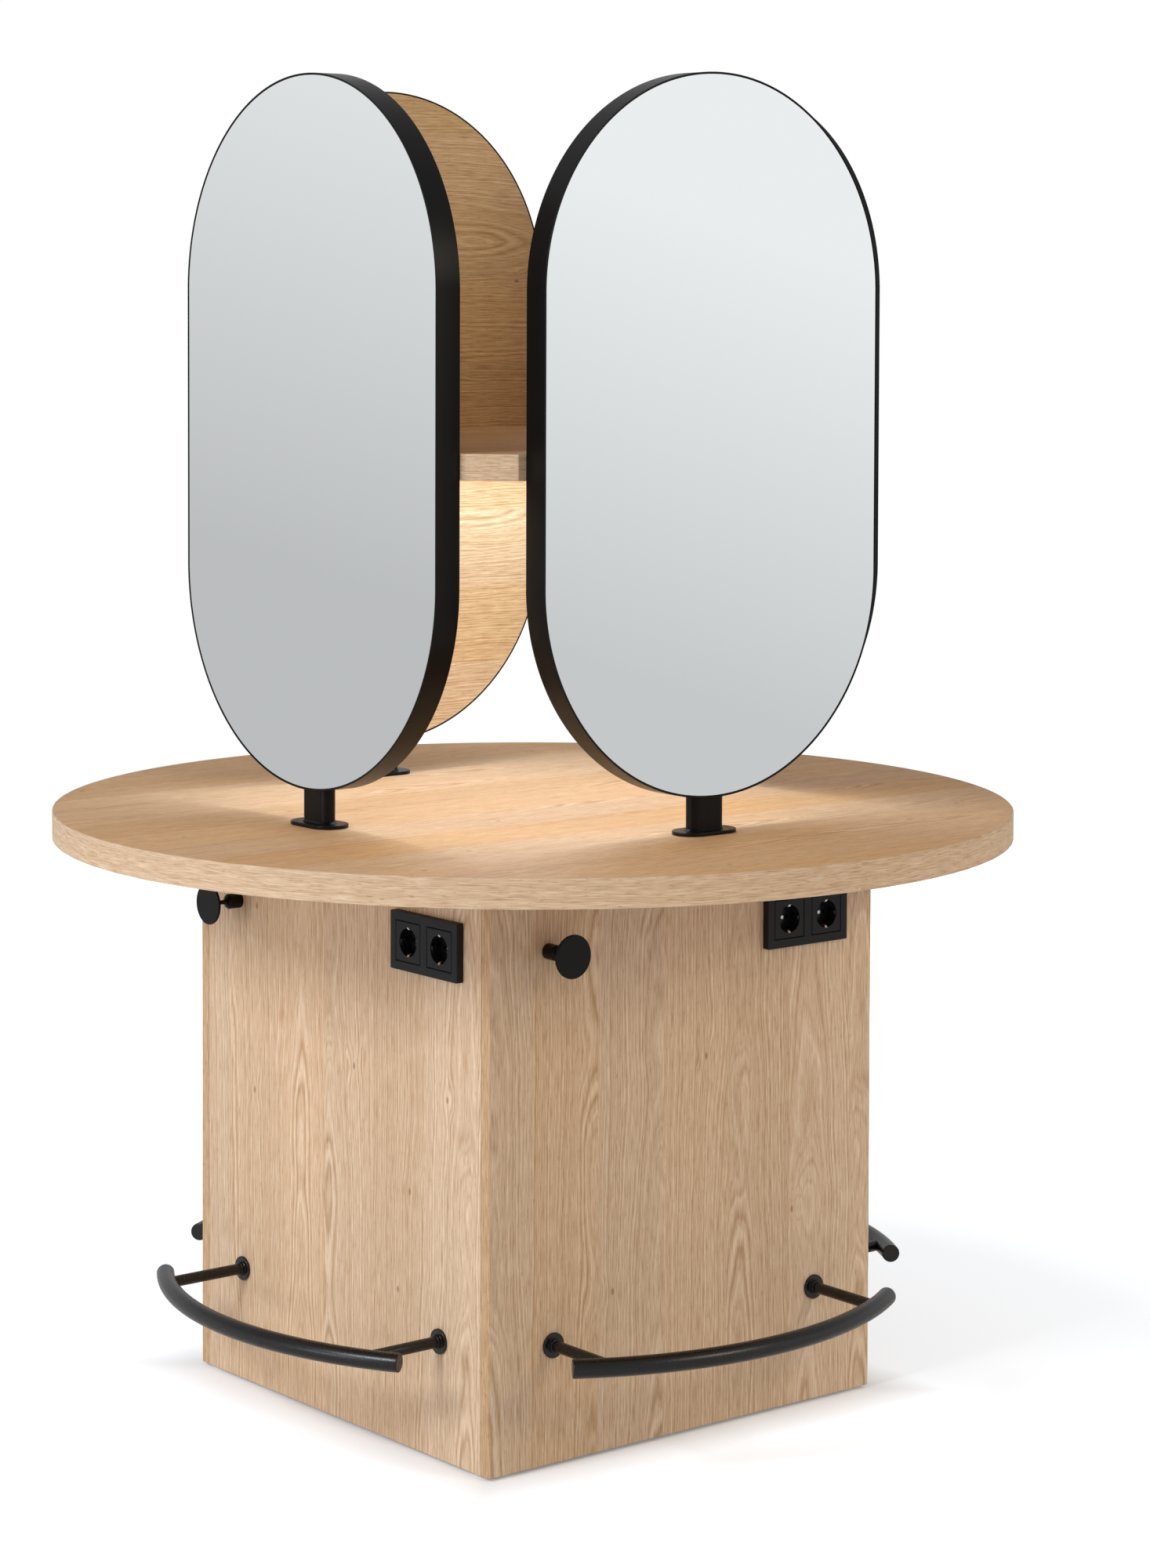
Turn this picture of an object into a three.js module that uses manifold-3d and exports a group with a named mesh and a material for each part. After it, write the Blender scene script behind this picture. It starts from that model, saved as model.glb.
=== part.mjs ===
// Four-place salon station: a round oak table on a square cabinet. Four pill-shaped mirrors stand on the
// table around a lit shelf, and each cabinet side has a hook, a double power socket and a bowed foot rail.
// Millimetres, +Z up, origin on the floor under the middle of the table.
import * as THREE from 'three';
import { mergeVertices } from 'three/addons/utils/BufferGeometryUtils.js';
import Module from 'manifold-3d';

const wasm = await Module();
wasm.setup();

// Gap kept between neighbouring pieces, and how far a cutter runs past the face it cuts
const CLEARANCE = 0.3;
const OVERCUT = 1;

// Cabinet
const CABINET_SIDE = 700;
const CABINET_HEIGHT = 808;
const PANEL_THICKNESS = 18;
const FLOOR_GAP = 4;

// Table
const TABLE_DIAMETER = 1400;
const TABLE_THICKNESS = 40;
const EDGE_BAND_THICKNESS = 2;

// Mirrors: steel band, glass and board
const MIRROR_WIDTH = 604;
const MIRROR_HEIGHT = 1000;
const MIRROR_DEPTH = 40;
const MIRROR_WALL = 4;
const MIRROR_LIFT = 52;
const MIRROR_CORNER_GAP = 63;
const GLASS_THICKNESS = 4;
const GLASS_RECESS = 1;

// Flat-oval stands that carry the mirrors
const STAND_WIDTH = 60;
const STAND_DEPTH = 24;
const STAND_WALL = 2.5;
const STAND_INSERTION = 60;
const FLANGE_LENGTH = 100;
const FLANGE_WIDTH = 56;
const FLANGE_THICKNESS = 5;

// Shelf and the light in its underside
const SHELF_LIFT = 498;
const SHELF_THICKNESS = 36;
const SHELF_CUT_CORNER = 50;
const LED_INSET = 60;
const LED_PROFILE_WIDTH = 18;
const LED_PROFILE_DEPTH = 10;
const LED_PROFILE_WALL = 2;
const LED_DIFFUSER_THICKNESS = 3;

// Power sockets
const FITTINGS_DROP = 102;
const SOCKET_INSET = 58;
const SOCKET_FRAME_BORDER = 13;
const SOCKET_BRIDGE = 16;
const SOCKET_FRAME_DEPTH = 11;
const SOCKET_FRAME_RADIUS = 5;
const INSERT_RIM = 2.5;
const INSERT_THICKNESS = 8;
const INSERT_WALL = 5.5;
const INSERT_BACK_WALL = 14;
const WELL_DIAMETER = 39;
const WELL_DEPTH = 17.5;
const PIN_SPACING = 19;
const PIN_HOLE_DIAMETER = 5.2;
const PIN_HOLE_DEPTH = 12;

// Hooks
const HOOK_INSET = 100;
const HOOK_BASE_DIAMETER = 22;
const HOOK_BASE_LENGTH = 21;
const HOOK_BASE_ROUNDING = 2;
const HOOK_NECK_DIAMETER = 6.4;
const HOOK_DISC_DIAMETER = 60;
const HOOK_DISC_THICKNESS = 4;
const HOOK_DISC_ROUNDING = 1;
const HOOK_REACH = 56;
const HOOK_STUD_DIAMETER = 6;

// Foot rails
const RAIL_REACH = 188;
const RAIL_OVERHANG = 49;
const RAIL_DIAMETER = 26;
const RAIL_HEIGHT = 168;
const POST_INSET = 110;
const POST_DIAMETER = 16;
const ROSETTE_DIAMETER = 35;
const ROSETTE_THICKNESS = 4;
const COLLAR_DIAMETER = 20;
const COLLAR_LENGTH = 9;
const RAIL_STUD_DIAMETER = 8;

// How far the hook and rail studs stand out inside the cabinet
const STUD_TAIL = 7;

// Levelling feet
const FOOT_INSET = 32;
const FOOT_PAD_DIAMETER = 56;
const FOOT_FLOOR = 1.5;
const STEM_DIAMETER = 10;
const STEM_TAIL = 20;
const STEM_SLOT_WIDTH = 2;
const STEM_SLOT_DEPTH = 3;

// Electrical pieces inside the cabinet
const CABLE_DIAMETER = 6;
const CABLE_SLACK = 2;
const CABLE_DROP_INSET = 52;
const HARNESS_DROP = 40;
const HARNESS_RUN = 30;
const HARNESS_SPLIT = 18;
const DRIVER_LENGTH = 180;
const DRIVER_WIDTH = 60;
const DRIVER_HEIGHT = 40;
const JUNCTION_BOX_LENGTH = 150;
const JUNCTION_BOX_WIDTH = 110;
const JUNCTION_BOX_HEIGHT = 60;
const GROMMET_HOLE_DIAMETER = 60;
const GROMMET_WALL = 5;
const GROMMET_LIP = 6;

// Facets on round pieces
const TABLE_SEGMENTS = 80;
const MIRROR_ARC_SEGMENTS = 20;
const OVAL_ARC_SEGMENTS = 8;
const ROUND_SEGMENTS = 16;
const FINE_SEGMENTS = 10;
const CABLE_SEGMENTS = 8;
const CORNER_STEPS = 3;
const FLARE_STEPS = 4;
const RAIL_STEPS = 12;

// Heights and distances that follow from the sizes above
const HALF_CABINET = CABINET_SIDE / 2;
const CABINET_TOP = FLOOR_GAP + CABINET_HEIGHT;
const TABLE_UNDERSIDE = CABINET_TOP + CLEARANCE;
const TABLE_TOP = TABLE_UNDERSIDE + TABLE_THICKNESS;
const INNER_SIDE = CABINET_SIDE - 2 * PANEL_THICKNESS - 2 * CLEARANCE;
const TOP_BOARD_UNDERSIDE = CABINET_TOP - PANEL_THICKNESS;
const FITTINGS_HEIGHT = CABINET_TOP - FITTINGS_DROP;
const MIRROR_BOTTOM = TABLE_TOP + MIRROR_LIFT;
const MIRROR_MIDDLE = MIRROR_BOTTOM + MIRROR_HEIGHT / 2;
const MIRROR_BACK_DISTANCE = MIRROR_WIDTH / 2 + MIRROR_CORNER_GAP;
const BOARD_DEPTH = MIRROR_DEPTH - GLASS_RECESS - GLASS_THICKNESS - CLEARANCE;
const STAND_DISTANCE = MIRROR_BACK_DISTANCE + BOARD_DEPTH / 2;
const STAND_TOP = MIRROR_BOTTOM + MIRROR_WALL + STAND_INSERTION;
const SHELF_UNDERSIDE = TABLE_TOP + SHELF_LIFT;
const SHELF_HALF = MIRROR_BACK_DISTANCE - CLEARANCE;
const LED_RING_SIDE = 2 * (SHELF_HALF - LED_INSET);
const LED_CABLE_LEVEL = SHELF_UNDERSIDE + LED_PROFILE_DEPTH / 2;
const CABLE_CHANNEL = CABLE_DIAMETER + 2 * CABLE_SLACK;
const CABLE_GROOVE_LEVEL = TABLE_UNDERSIDE + CABLE_CHANNEL / 2;
const CABLE_DROP_DISTANCE = INNER_SIDE / 2 - CABLE_DROP_INSET;
const FOOT_DISTANCE = HALF_CABINET - FOOT_INSET;
const INSERT_BODY_DIAMETER = WELL_DIAMETER + 2 * INSERT_WALL;
const INSERT_SIDE = INSERT_BODY_DIAMETER + 2 * INSERT_RIM;
const SOCKET_SPACING = INSERT_SIDE + SOCKET_BRIDGE;
const SOCKET_FRAME_HEIGHT = INSERT_SIDE + 2 * SOCKET_FRAME_BORDER;
const SOCKET_FRAME_WIDTH = SOCKET_FRAME_HEIGHT + SOCKET_SPACING;
const SOCKET_OFFSET = HALF_CABINET - SOCKET_INSET - SOCKET_FRAME_WIDTH / 2;
const SOCKET_FACE = HALF_CABINET + CLEARANCE + SOCKET_FRAME_DEPTH;
const INSERT_BACK = SOCKET_FACE - WELL_DEPTH - PIN_HOLE_DEPTH - INSERT_BACK_WALL;
const HOOK_OFFSET = HALF_CABINET - HOOK_INSET;
const POST_OFFSET = HALF_CABINET - POST_INSET;
const RAIL_RADIUS = HALF_CABINET + RAIL_REACH;
const RAIL_HALF_ANGLE = Math.asin((POST_OFFSET + RAIL_OVERHANG) / RAIL_RADIUS);

// The four sides in turn. Every side piece is drawn on the front (-Y) side and turned into place.
const SIDES = [
  { name: 'front', turn: 0, panelWidth: CABINET_SIDE },
  { name: 'left', turn: -Math.PI / 2, panelWidth: INNER_SIDE },
  { name: 'back', turn: Math.PI, panelWidth: CABINET_SIDE },
  { name: 'right', turn: Math.PI / 2, panelWidth: INNER_SIDE },
];
const LED_CABLE_SIDE = 'right';

function finish(color, roughness, metalness) {
  return new THREE.MeshStandardMaterial({ color, roughness, metalness });
}

const oak = finish(0xd2b48c, 0.6, 0);
const blackCoat = finish(0x1c1b1a, 0.5, 0.3);
const mirrorGlass = finish(0xd8dcdd, 0.03, 1);
const blackPlastic = finish(0x222224, 0.55, 0);
const greyPlastic = finish(0xb8b8b4, 0.6, 0);
const steel = finish(0xa8a8a6, 0.35, 1);
const aluminium = finish(0xc4c6c8, 0.4, 1);
const opal = finish(0xfff0d8, 0.5, 0);
const whitePlastic = finish(0xe6e6e2, 0.6, 0);
const cableSheath = finish(0x3a3a3a, 0.7, 0);

// Turns a closed three.js geometry into a solid, leaving out the flat triangles at a lathe's poles
function solidOf(geometry) {
  const bare = new THREE.BufferGeometry();
  bare.setAttribute('position', geometry.getAttribute('position'));
  bare.setIndex(geometry.getIndex());
  const welded = mergeVertices(bare);
  const corners = welded.getIndex().array;
  const kept = [];
  for (let first = 0; first < corners.length; first += 3) {
    const [a, b, c] = corners.slice(first, first + 3);
    if (a !== b && b !== c && c !== a) {
      kept.push(a, b, c);
    }
  }
  return new wasm.Manifold(new wasm.Mesh({
    numProp: 3,
    vertProperties: Float32Array.from(welded.getAttribute('position').array),
    triVerts: Uint32Array.from(kept),
  }));
}

// Box centred on x and y, standing on height z
function box(width, depth, height, x, y, z) {
  const geometry = new THREE.BoxGeometry(width, depth, height);
  geometry.translate(x, y, z + height / 2);
  return solidOf(geometry);
}

// Round bar from one point to another
function rod(diameter, from, to, segments = ROUND_SEGMENTS) {
  const start = new THREE.Vector3(...from);
  const end = new THREE.Vector3(...to);
  const along = end.clone().sub(start);
  const geometry = new THREE.CylinderGeometry(diameter / 2, diameter / 2, along.length(), segments);
  const up = new THREE.Vector3(0, 1, 0);
  geometry.applyQuaternion(new THREE.Quaternion().setFromUnitVectors(up, along.clone().normalize()));
  const middle = start.add(end).multiplyScalar(0.5);
  geometry.translate(middle.x, middle.y, middle.z);
  return solidOf(geometry);
}

// Cable through a list of points, with a ball at each corner
function cable(diameter, points) {
  let solid = rod(diameter, points[0], points[1], CABLE_SEGMENTS);
  for (let index = 1; index < points.length - 1; index += 1) {
    const ball = new THREE.SphereGeometry(diameter / 2, CABLE_SEGMENTS, CABLE_SEGMENTS / 2);
    ball.translate(...points[index]);
    solid = solid.add(solidOf(ball));
    solid = solid.add(rod(diameter, points[index], points[index + 1], CABLE_SEGMENTS));
  }
  return solid;
}

// Pill outline: two straight sides and two half circles
function pill(width, height, arcSegments) {
  const radius = Math.min(width, height) / 2;
  const reachX = width / 2 - radius;
  const reachY = height / 2 - radius;
  const startAngle = reachX > 0 ? -Math.PI / 2 : 0;
  const points = [];
  for (const half of [0, 1]) {
    const sign = half === 0 ? 1 : -1;
    for (let step = 0; step <= arcSegments; step += 1) {
      const angle = startAngle + Math.PI * (half + step / arcSegments);
      const x = sign * reachX + radius * Math.cos(angle);
      const y = sign * reachY + radius * Math.sin(angle);
      points.push(new THREE.Vector2(x, y));
    }
  }
  return new THREE.Shape(points);
}

// Rectangle outline with rounded or cut corners: one step per corner is a straight cut
function rectangle(width, height, corner, cornerSteps) {
  const points = [];
  for (let quarter = 0; quarter < 4; quarter += 1) {
    const signX = quarter === 0 || quarter === 3 ? 1 : -1;
    const signY = quarter < 2 ? 1 : -1;
    for (let step = 0; step <= cornerSteps; step += 1) {
      const angle = (Math.PI / 2) * (quarter + step / cornerSteps);
      const x = signX * (width / 2 - corner) + corner * Math.cos(angle);
      const y = signY * (height / 2 - corner) + corner * Math.sin(angle);
      points.push(new THREE.Vector2(x, y));
    }
  }
  return new THREE.Shape(points);
}

// Plain square outline
function square(side) {
  const half = side / 2;
  return new THREE.Shape([
    new THREE.Vector2(half, half),
    new THREE.Vector2(-half, half),
    new THREE.Vector2(-half, -half),
    new THREE.Vector2(half, -half),
  ]);
}

// Outline drawn on the floor plan and raised from height z
function raised(shape, height, z, x = 0, y = 0) {
  const geometry = new THREE.ExtrudeGeometry(shape, { depth: height, bevelEnabled: false });
  geometry.translate(x, y, z);
  return solidOf(geometry);
}

// Outline drawn on the front elevation, running out towards -Y from a distance in front of the middle
function upright(shape, depth, distance, x, z) {
  const geometry = new THREE.ExtrudeGeometry(shape, { depth, bevelEnabled: false });
  geometry.rotateX(Math.PI / 2);
  geometry.translate(x, -distance, z);
  return solidOf(geometry);
}

// Profile of radius and height pairs, turned about the vertical axis
function turned(profile, segments) {
  const points = profile.map(([radius, height]) => new THREE.Vector2(radius, height));
  const geometry = new THREE.LatheGeometry(points, segments);
  geometry.rotateX(Math.PI / 2);
  return geometry;
}

const station = new THREE.Group();
station.name = 'salon_station';

function addNode(name, solid, material, turn = 0) {
  const { vertProperties, triVerts } = solid.getMesh();
  const geometry = new THREE.BufferGeometry();
  geometry.setAttribute('position', new THREE.BufferAttribute(Float32Array.from(vertProperties), 3));
  geometry.setIndex(new THREE.BufferAttribute(Uint32Array.from(triVerts), 1));
  geometry.rotateZ(turn);
  geometry.computeVertexNormals();
  const mesh = new THREE.Mesh(geometry, material);
  mesh.name = name;
  station.add(mesh);
}

// Places of the two socket inserts on a side
const INSERT_OFFSETS = [SOCKET_OFFSET - SOCKET_SPACING / 2, SOCKET_OFFSET + SOCKET_SPACING / 2];

// Cabinet panel with the holes for its rail studs, hook stud and socket inserts
function cabinetPanel(width) {
  const middle = -HALF_CABINET + PANEL_THICKNESS / 2;
  let panel = box(width, PANEL_THICKNESS, CABINET_HEIGHT, 0, middle, FLOOR_GAP);
  const drill = (diameter, x, z, segments) => {
    const outside = [x, -HALF_CABINET - OVERCUT, z];
    const inside = [x, -HALF_CABINET + PANEL_THICKNESS + OVERCUT, z];
    panel = panel.subtract(rod(diameter + 2 * CLEARANCE, outside, inside, segments));
  };
  for (const offset of [-POST_OFFSET, POST_OFFSET]) {
    drill(RAIL_STUD_DIAMETER, offset, RAIL_HEIGHT, FINE_SEGMENTS);
  }
  drill(HOOK_STUD_DIAMETER, -HOOK_OFFSET, FITTINGS_HEIGHT, FINE_SEGMENTS);
  for (const offset of INSERT_OFFSETS) {
    drill(INSERT_BODY_DIAMETER, offset, FITTINGS_HEIGHT, ROUND_SEGMENTS);
  }
  return panel;
}

// Bottom board with the holes for the foot stems and the supply grommet
function bottomBoard() {
  let board = box(INNER_SIDE, INNER_SIDE, PANEL_THICKNESS, 0, 0, FLOOR_GAP);
  const below = FLOOR_GAP - OVERCUT;
  const above = FLOOR_GAP + PANEL_THICKNESS + OVERCUT;
  for (const x of [-FOOT_DISTANCE, FOOT_DISTANCE]) {
    for (const y of [-FOOT_DISTANCE, FOOT_DISTANCE]) {
      board = board.subtract(rod(STEM_DIAMETER + 2 * CLEARANCE, [x, y, below], [x, y, above], FINE_SEGMENTS));
    }
  }
  return board.subtract(rod(GROMMET_HOLE_DIAMETER + 2 * CLEARANCE, [0, 0, below], [0, 0, above]));
}

// Top board with the hole for the LED cable
function topBoard() {
  const board = box(INNER_SIDE, INNER_SIDE, PANEL_THICKNESS, 0, 0, TOP_BOARD_UNDERSIDE);
  const below = [CABLE_DROP_DISTANCE, 0, TOP_BOARD_UNDERSIDE - OVERCUT];
  const above = [CABLE_DROP_DISTANCE, 0, CABINET_TOP + OVERCUT];
  return board.subtract(rod(CABLE_CHANNEL, below, above, FINE_SEGMENTS));
}

// Table top with the cable hole under one stand and the groove that leads the cable into the cabinet
function tableTop() {
  const diameter = TABLE_DIAMETER - 2 * EDGE_BAND_THICKNESS - 2 * CLEARANCE;
  const disc = rod(diameter, [0, 0, TABLE_UNDERSIDE], [0, 0, TABLE_TOP], TABLE_SEGMENTS);
  const hole = rod(
    CABLE_CHANNEL,
    [STAND_DISTANCE, 0, TABLE_UNDERSIDE - OVERCUT],
    [STAND_DISTANCE, 0, TABLE_TOP + OVERCUT],
    FINE_SEGMENTS,
  );
  const grooveLength = STAND_DISTANCE - CABLE_DROP_DISTANCE + CABLE_CHANNEL;
  const grooveMiddle = (STAND_DISTANCE + CABLE_DROP_DISTANCE) / 2;
  const grooveHeight = CABLE_CHANNEL + OVERCUT;
  const groove = box(grooveLength, CABLE_CHANNEL, grooveHeight, grooveMiddle, 0, TABLE_UNDERSIDE - OVERCUT);
  return disc.subtract(hole).subtract(groove);
}

function tableEdgeBand() {
  const innerDiameter = TABLE_DIAMETER - 2 * EDGE_BAND_THICKNESS;
  const outer = rod(TABLE_DIAMETER, [0, 0, TABLE_UNDERSIDE], [0, 0, TABLE_TOP], TABLE_SEGMENTS);
  const below = [0, 0, TABLE_UNDERSIDE - OVERCUT];
  const above = [0, 0, TABLE_TOP + OVERCUT];
  return outer.subtract(rod(innerDiameter, below, above, TABLE_SEGMENTS));
}

// Flat-oval hole that a stand's tube passes through
function standMortise(from, to) {
  const shape = pill(STAND_WIDTH + 2 * CLEARANCE, STAND_DEPTH + 2 * CLEARANCE, OVAL_ARC_SEGMENTS);
  return raised(shape, to - from, from, 0, -STAND_DISTANCE);
}

function mirrorFrame() {
  const outline = pill(MIRROR_WIDTH, MIRROR_HEIGHT, MIRROR_ARC_SEGMENTS);
  const inside = pill(MIRROR_WIDTH - 2 * MIRROR_WALL, MIRROR_HEIGHT - 2 * MIRROR_WALL, MIRROR_ARC_SEGMENTS);
  const band = upright(outline, MIRROR_DEPTH, MIRROR_BACK_DISTANCE, 0, MIRROR_MIDDLE);
  const cutDepth = MIRROR_DEPTH + 2 * OVERCUT;
  const hollow = upright(inside, cutDepth, MIRROR_BACK_DISTANCE - OVERCUT, 0, MIRROR_MIDDLE);
  return band.subtract(hollow).subtract(standMortise(MIRROR_BOTTOM - OVERCUT, STAND_TOP));
}

// Pill that fits inside the steel band
function mirrorInfill(depth, distance) {
  const width = MIRROR_WIDTH - 2 * MIRROR_WALL - 2 * CLEARANCE;
  const height = MIRROR_HEIGHT - 2 * MIRROR_WALL - 2 * CLEARANCE;
  return upright(pill(width, height, MIRROR_ARC_SEGMENTS), depth, distance, 0, MIRROR_MIDDLE);
}

// Mirror board with the mortise for its stand and, on one side, the drilled way for the LED cable
function mirrorBoard(hasCable) {
  const mortiseTop = STAND_TOP + CLEARANCE;
  let board = mirrorInfill(BOARD_DEPTH, MIRROR_BACK_DISTANCE);
  board = board.subtract(standMortise(MIRROR_BOTTOM - OVERCUT, mortiseTop));
  if (hasCable) {
    const elbow = [0, -STAND_DISTANCE, LED_CABLE_LEVEL];
    const bottom = [0, -STAND_DISTANCE, mortiseTop - OVERCUT];
    const mouth = [0, -MIRROR_BACK_DISTANCE + OVERCUT, LED_CABLE_LEVEL];
    board = board.subtract(cable(CABLE_CHANNEL, [bottom, elbow, mouth]));
  }
  return board;
}

function mirrorGlassPane() {
  return mirrorInfill(GLASS_THICKNESS, MIRROR_BACK_DISTANCE + BOARD_DEPTH + CLEARANCE);
}

// Hollow flat-oval tube welded on its flange
function mirrorStand() {
  const foot = TABLE_TOP + CLEARANCE;
  const flange = pill(FLANGE_LENGTH, FLANGE_WIDTH, OVAL_ARC_SEGMENTS);
  const outside = pill(STAND_WIDTH, STAND_DEPTH, OVAL_ARC_SEGMENTS);
  const inside = pill(STAND_WIDTH - 2 * STAND_WALL, STAND_DEPTH - 2 * STAND_WALL, OVAL_ARC_SEGMENTS);
  const height = STAND_TOP - foot;
  const plate = raised(flange, FLANGE_THICKNESS, foot, 0, -STAND_DISTANCE);
  const tube = raised(outside, height, foot, 0, -STAND_DISTANCE);
  const bore = raised(inside, height + 2 * OVERCUT, foot - OVERCUT, 0, -STAND_DISTANCE);
  return plate.add(tube).subtract(bore);
}

// Square ring on the LED line, from the shelf's underside up
function ledRing(width, height, z) {
  const shape = square(LED_RING_SIDE + width);
  shape.holes.push(square(LED_RING_SIDE - width));
  return raised(shape, height, z);
}

// Shelf with cut corners, the groove for the LED profile and the groove for its cable
function shelfBoard() {
  const outline = rectangle(2 * SHELF_HALF, 2 * SHELF_HALF, SHELF_CUT_CORNER, 1);
  const below = SHELF_UNDERSIDE - OVERCUT;
  const ledGrooveHeight = LED_PROFILE_DEPTH + CLEARANCE + OVERCUT;
  const ledGroove = ledRing(LED_PROFILE_WIDTH + 2 * CLEARANCE, ledGrooveHeight, below);
  const cableGrooveHeight = CABLE_CHANNEL + OVERCUT;
  const cableGrooveLength = SHELF_HALF - LED_RING_SIDE / 2 + OVERCUT;
  const cableGrooveMiddle = LED_RING_SIDE / 2 + cableGrooveLength / 2;
  const cableGroove = box(cableGrooveLength, CABLE_CHANNEL, cableGrooveHeight, cableGrooveMiddle, 0, below);
  const board = raised(outline, SHELF_THICKNESS, SHELF_UNDERSIDE);
  return board.subtract(ledGroove).subtract(cableGroove);
}

function ledProfile() {
  const channelHeight = LED_PROFILE_DEPTH - LED_PROFILE_WALL + OVERCUT;
  const channel = ledRing(LED_PROFILE_WIDTH - 2 * LED_PROFILE_WALL, channelHeight, SHELF_UNDERSIDE - OVERCUT);
  return ledRing(LED_PROFILE_WIDTH, LED_PROFILE_DEPTH, SHELF_UNDERSIDE).subtract(channel);
}

function ledDiffuser() {
  const width = LED_PROFILE_WIDTH - 2 * LED_PROFILE_WALL - 2 * CLEARANCE;
  return ledRing(width, LED_DIFFUSER_THICKNESS, SHELF_UNDERSIDE);
}

function socketFrame() {
  const outline = rectangle(SOCKET_FRAME_WIDTH, SOCKET_FRAME_HEIGHT, SOCKET_FRAME_RADIUS, CORNER_STEPS);
  const back = HALF_CABINET + CLEARANCE;
  let frame = upright(outline, SOCKET_FRAME_DEPTH, back, SOCKET_OFFSET, FITTINGS_HEIGHT);
  const side = INSERT_SIDE + 2 * CLEARANCE;
  for (const offset of INSERT_OFFSETS) {
    const middle = -back - SOCKET_FRAME_DEPTH / 2;
    const depth = SOCKET_FRAME_DEPTH + 2 * OVERCUT;
    frame = frame.subtract(box(side, depth, side, offset, middle, FITTINGS_HEIGHT - side / 2));
  }
  return frame;
}

// Socket insert: square face, round body through the panel, plug well and two pin holes
function socketInsert(offset) {
  const face = -SOCKET_FACE;
  const bottom = FITTINGS_HEIGHT - INSERT_SIDE / 2;
  const plate = box(INSERT_SIDE, INSERT_THICKNESS, INSERT_SIDE, offset, face + INSERT_THICKNESS / 2, bottom);
  const bodyFront = [offset, face + INSERT_THICKNESS / 2, FITTINGS_HEIGHT];
  const body = rod(INSERT_BODY_DIAMETER, bodyFront, [offset, -INSERT_BACK, FITTINGS_HEIGHT]);
  const wellFloor = face + WELL_DEPTH;
  const mouth = [offset, face - OVERCUT, FITTINGS_HEIGHT];
  let insert = plate.add(body);
  insert = insert.subtract(rod(WELL_DIAMETER, mouth, [offset, wellFloor, FITTINGS_HEIGHT]));
  for (const sign of [-1, 1]) {
    const x = offset + (sign * PIN_SPACING) / 2;
    const start = [x, wellFloor - OVERCUT, FITTINGS_HEIGHT];
    const end = [x, wellFloor + PIN_HOLE_DEPTH, FITTINGS_HEIGHT];
    insert = insert.subtract(rod(PIN_HOLE_DIAMETER, start, end, FINE_SEGMENTS));
  }
  return insert;
}

// Turned hook: stud in the panel, round base, flared neck and flat disc
function hook() {
  const base = HOOK_BASE_DIAMETER / 2;
  const neck = HOOK_NECK_DIAMETER / 2;
  const disc = HOOK_DISC_DIAMETER / 2;
  const stud = HOOK_STUD_DIAMETER / 2;
  const studEnd = -PANEL_THICKNESS - STUD_TAIL;
  const discBack = HOOK_REACH - HOOK_DISC_THICKNESS;
  const flare = new THREE.QuadraticBezierCurve(
    new THREE.Vector2(base - HOOK_BASE_ROUNDING, HOOK_BASE_LENGTH),
    new THREE.Vector2(neck, HOOK_BASE_LENGTH),
    new THREE.Vector2(neck, (HOOK_BASE_LENGTH + discBack) / 2),
  );
  const geometry = turned([
    [0, studEnd],
    [stud, studEnd],
    [stud, CLEARANCE],
    [base, CLEARANCE],
    [base, HOOK_BASE_LENGTH - HOOK_BASE_ROUNDING],
    ...flare.getPoints(FLARE_STEPS).map((point) => point.toArray()),
    [neck, discBack],
    [disc - HOOK_DISC_ROUNDING, discBack],
    [disc, discBack + HOOK_DISC_ROUNDING],
    [disc, HOOK_REACH - HOOK_DISC_ROUNDING],
    [disc - HOOK_DISC_ROUNDING, HOOK_REACH],
    [0, HOOK_REACH],
  ], ROUND_SEGMENTS);
  geometry.rotateX(Math.PI / 2);
  geometry.translate(-HOOK_OFFSET, -HALF_CABINET, FITTINGS_HEIGHT);
  return solidOf(geometry);
}

// Bow of a foot rail: part of a circle around the middle of the cabinet
class RailBow extends THREE.Curve {
  getPoint(share, target = new THREE.Vector3()) {
    const angle = RAIL_HALF_ANGLE * (2 * share - 1);
    return target.set(RAIL_RADIUS * Math.sin(angle), -RAIL_RADIUS * Math.cos(angle), RAIL_HEIGHT);
  }
}

// Foot rail: bowed bar, two posts with collar and rosette, and their studs through the panel
function footRail() {
  const circle = new THREE.Path().absarc(0, 0, RAIL_DIAMETER / 2, 0, 2 * Math.PI);
  const section = new THREE.Shape(circle.getSpacedPoints(ROUND_SEGMENTS).slice(0, ROUND_SEGMENTS));
  const bow = new THREE.ExtrudeGeometry(section, { steps: RAIL_STEPS, extrudePath: new RailBow() });
  let rail = solidOf(bow);
  const back = -HALF_CABINET - CLEARANCE;
  const barLine = -Math.sqrt(RAIL_RADIUS ** 2 - POST_OFFSET ** 2);
  const studEnd = -HALF_CABINET + PANEL_THICKNESS + STUD_TAIL;
  for (const x of [-POST_OFFSET, POST_OFFSET]) {
    const wall = [x, back, RAIL_HEIGHT];
    rail = rail.add(rod(POST_DIAMETER, wall, [x, barLine, RAIL_HEIGHT], FINE_SEGMENTS));
    rail = rail.add(rod(COLLAR_DIAMETER, wall, [x, back - COLLAR_LENGTH, RAIL_HEIGHT], FINE_SEGMENTS));
    rail = rail.add(rod(ROSETTE_DIAMETER, wall, [x, back - ROSETTE_THICKNESS, RAIL_HEIGHT]));
    const studStart = [x, back - ROSETTE_THICKNESS, RAIL_HEIGHT];
    rail = rail.add(rod(RAIL_STUD_DIAMETER, studStart, [x, studEnd, RAIL_HEIGHT], FINE_SEGMENTS));
  }
  return rail;
}

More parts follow.
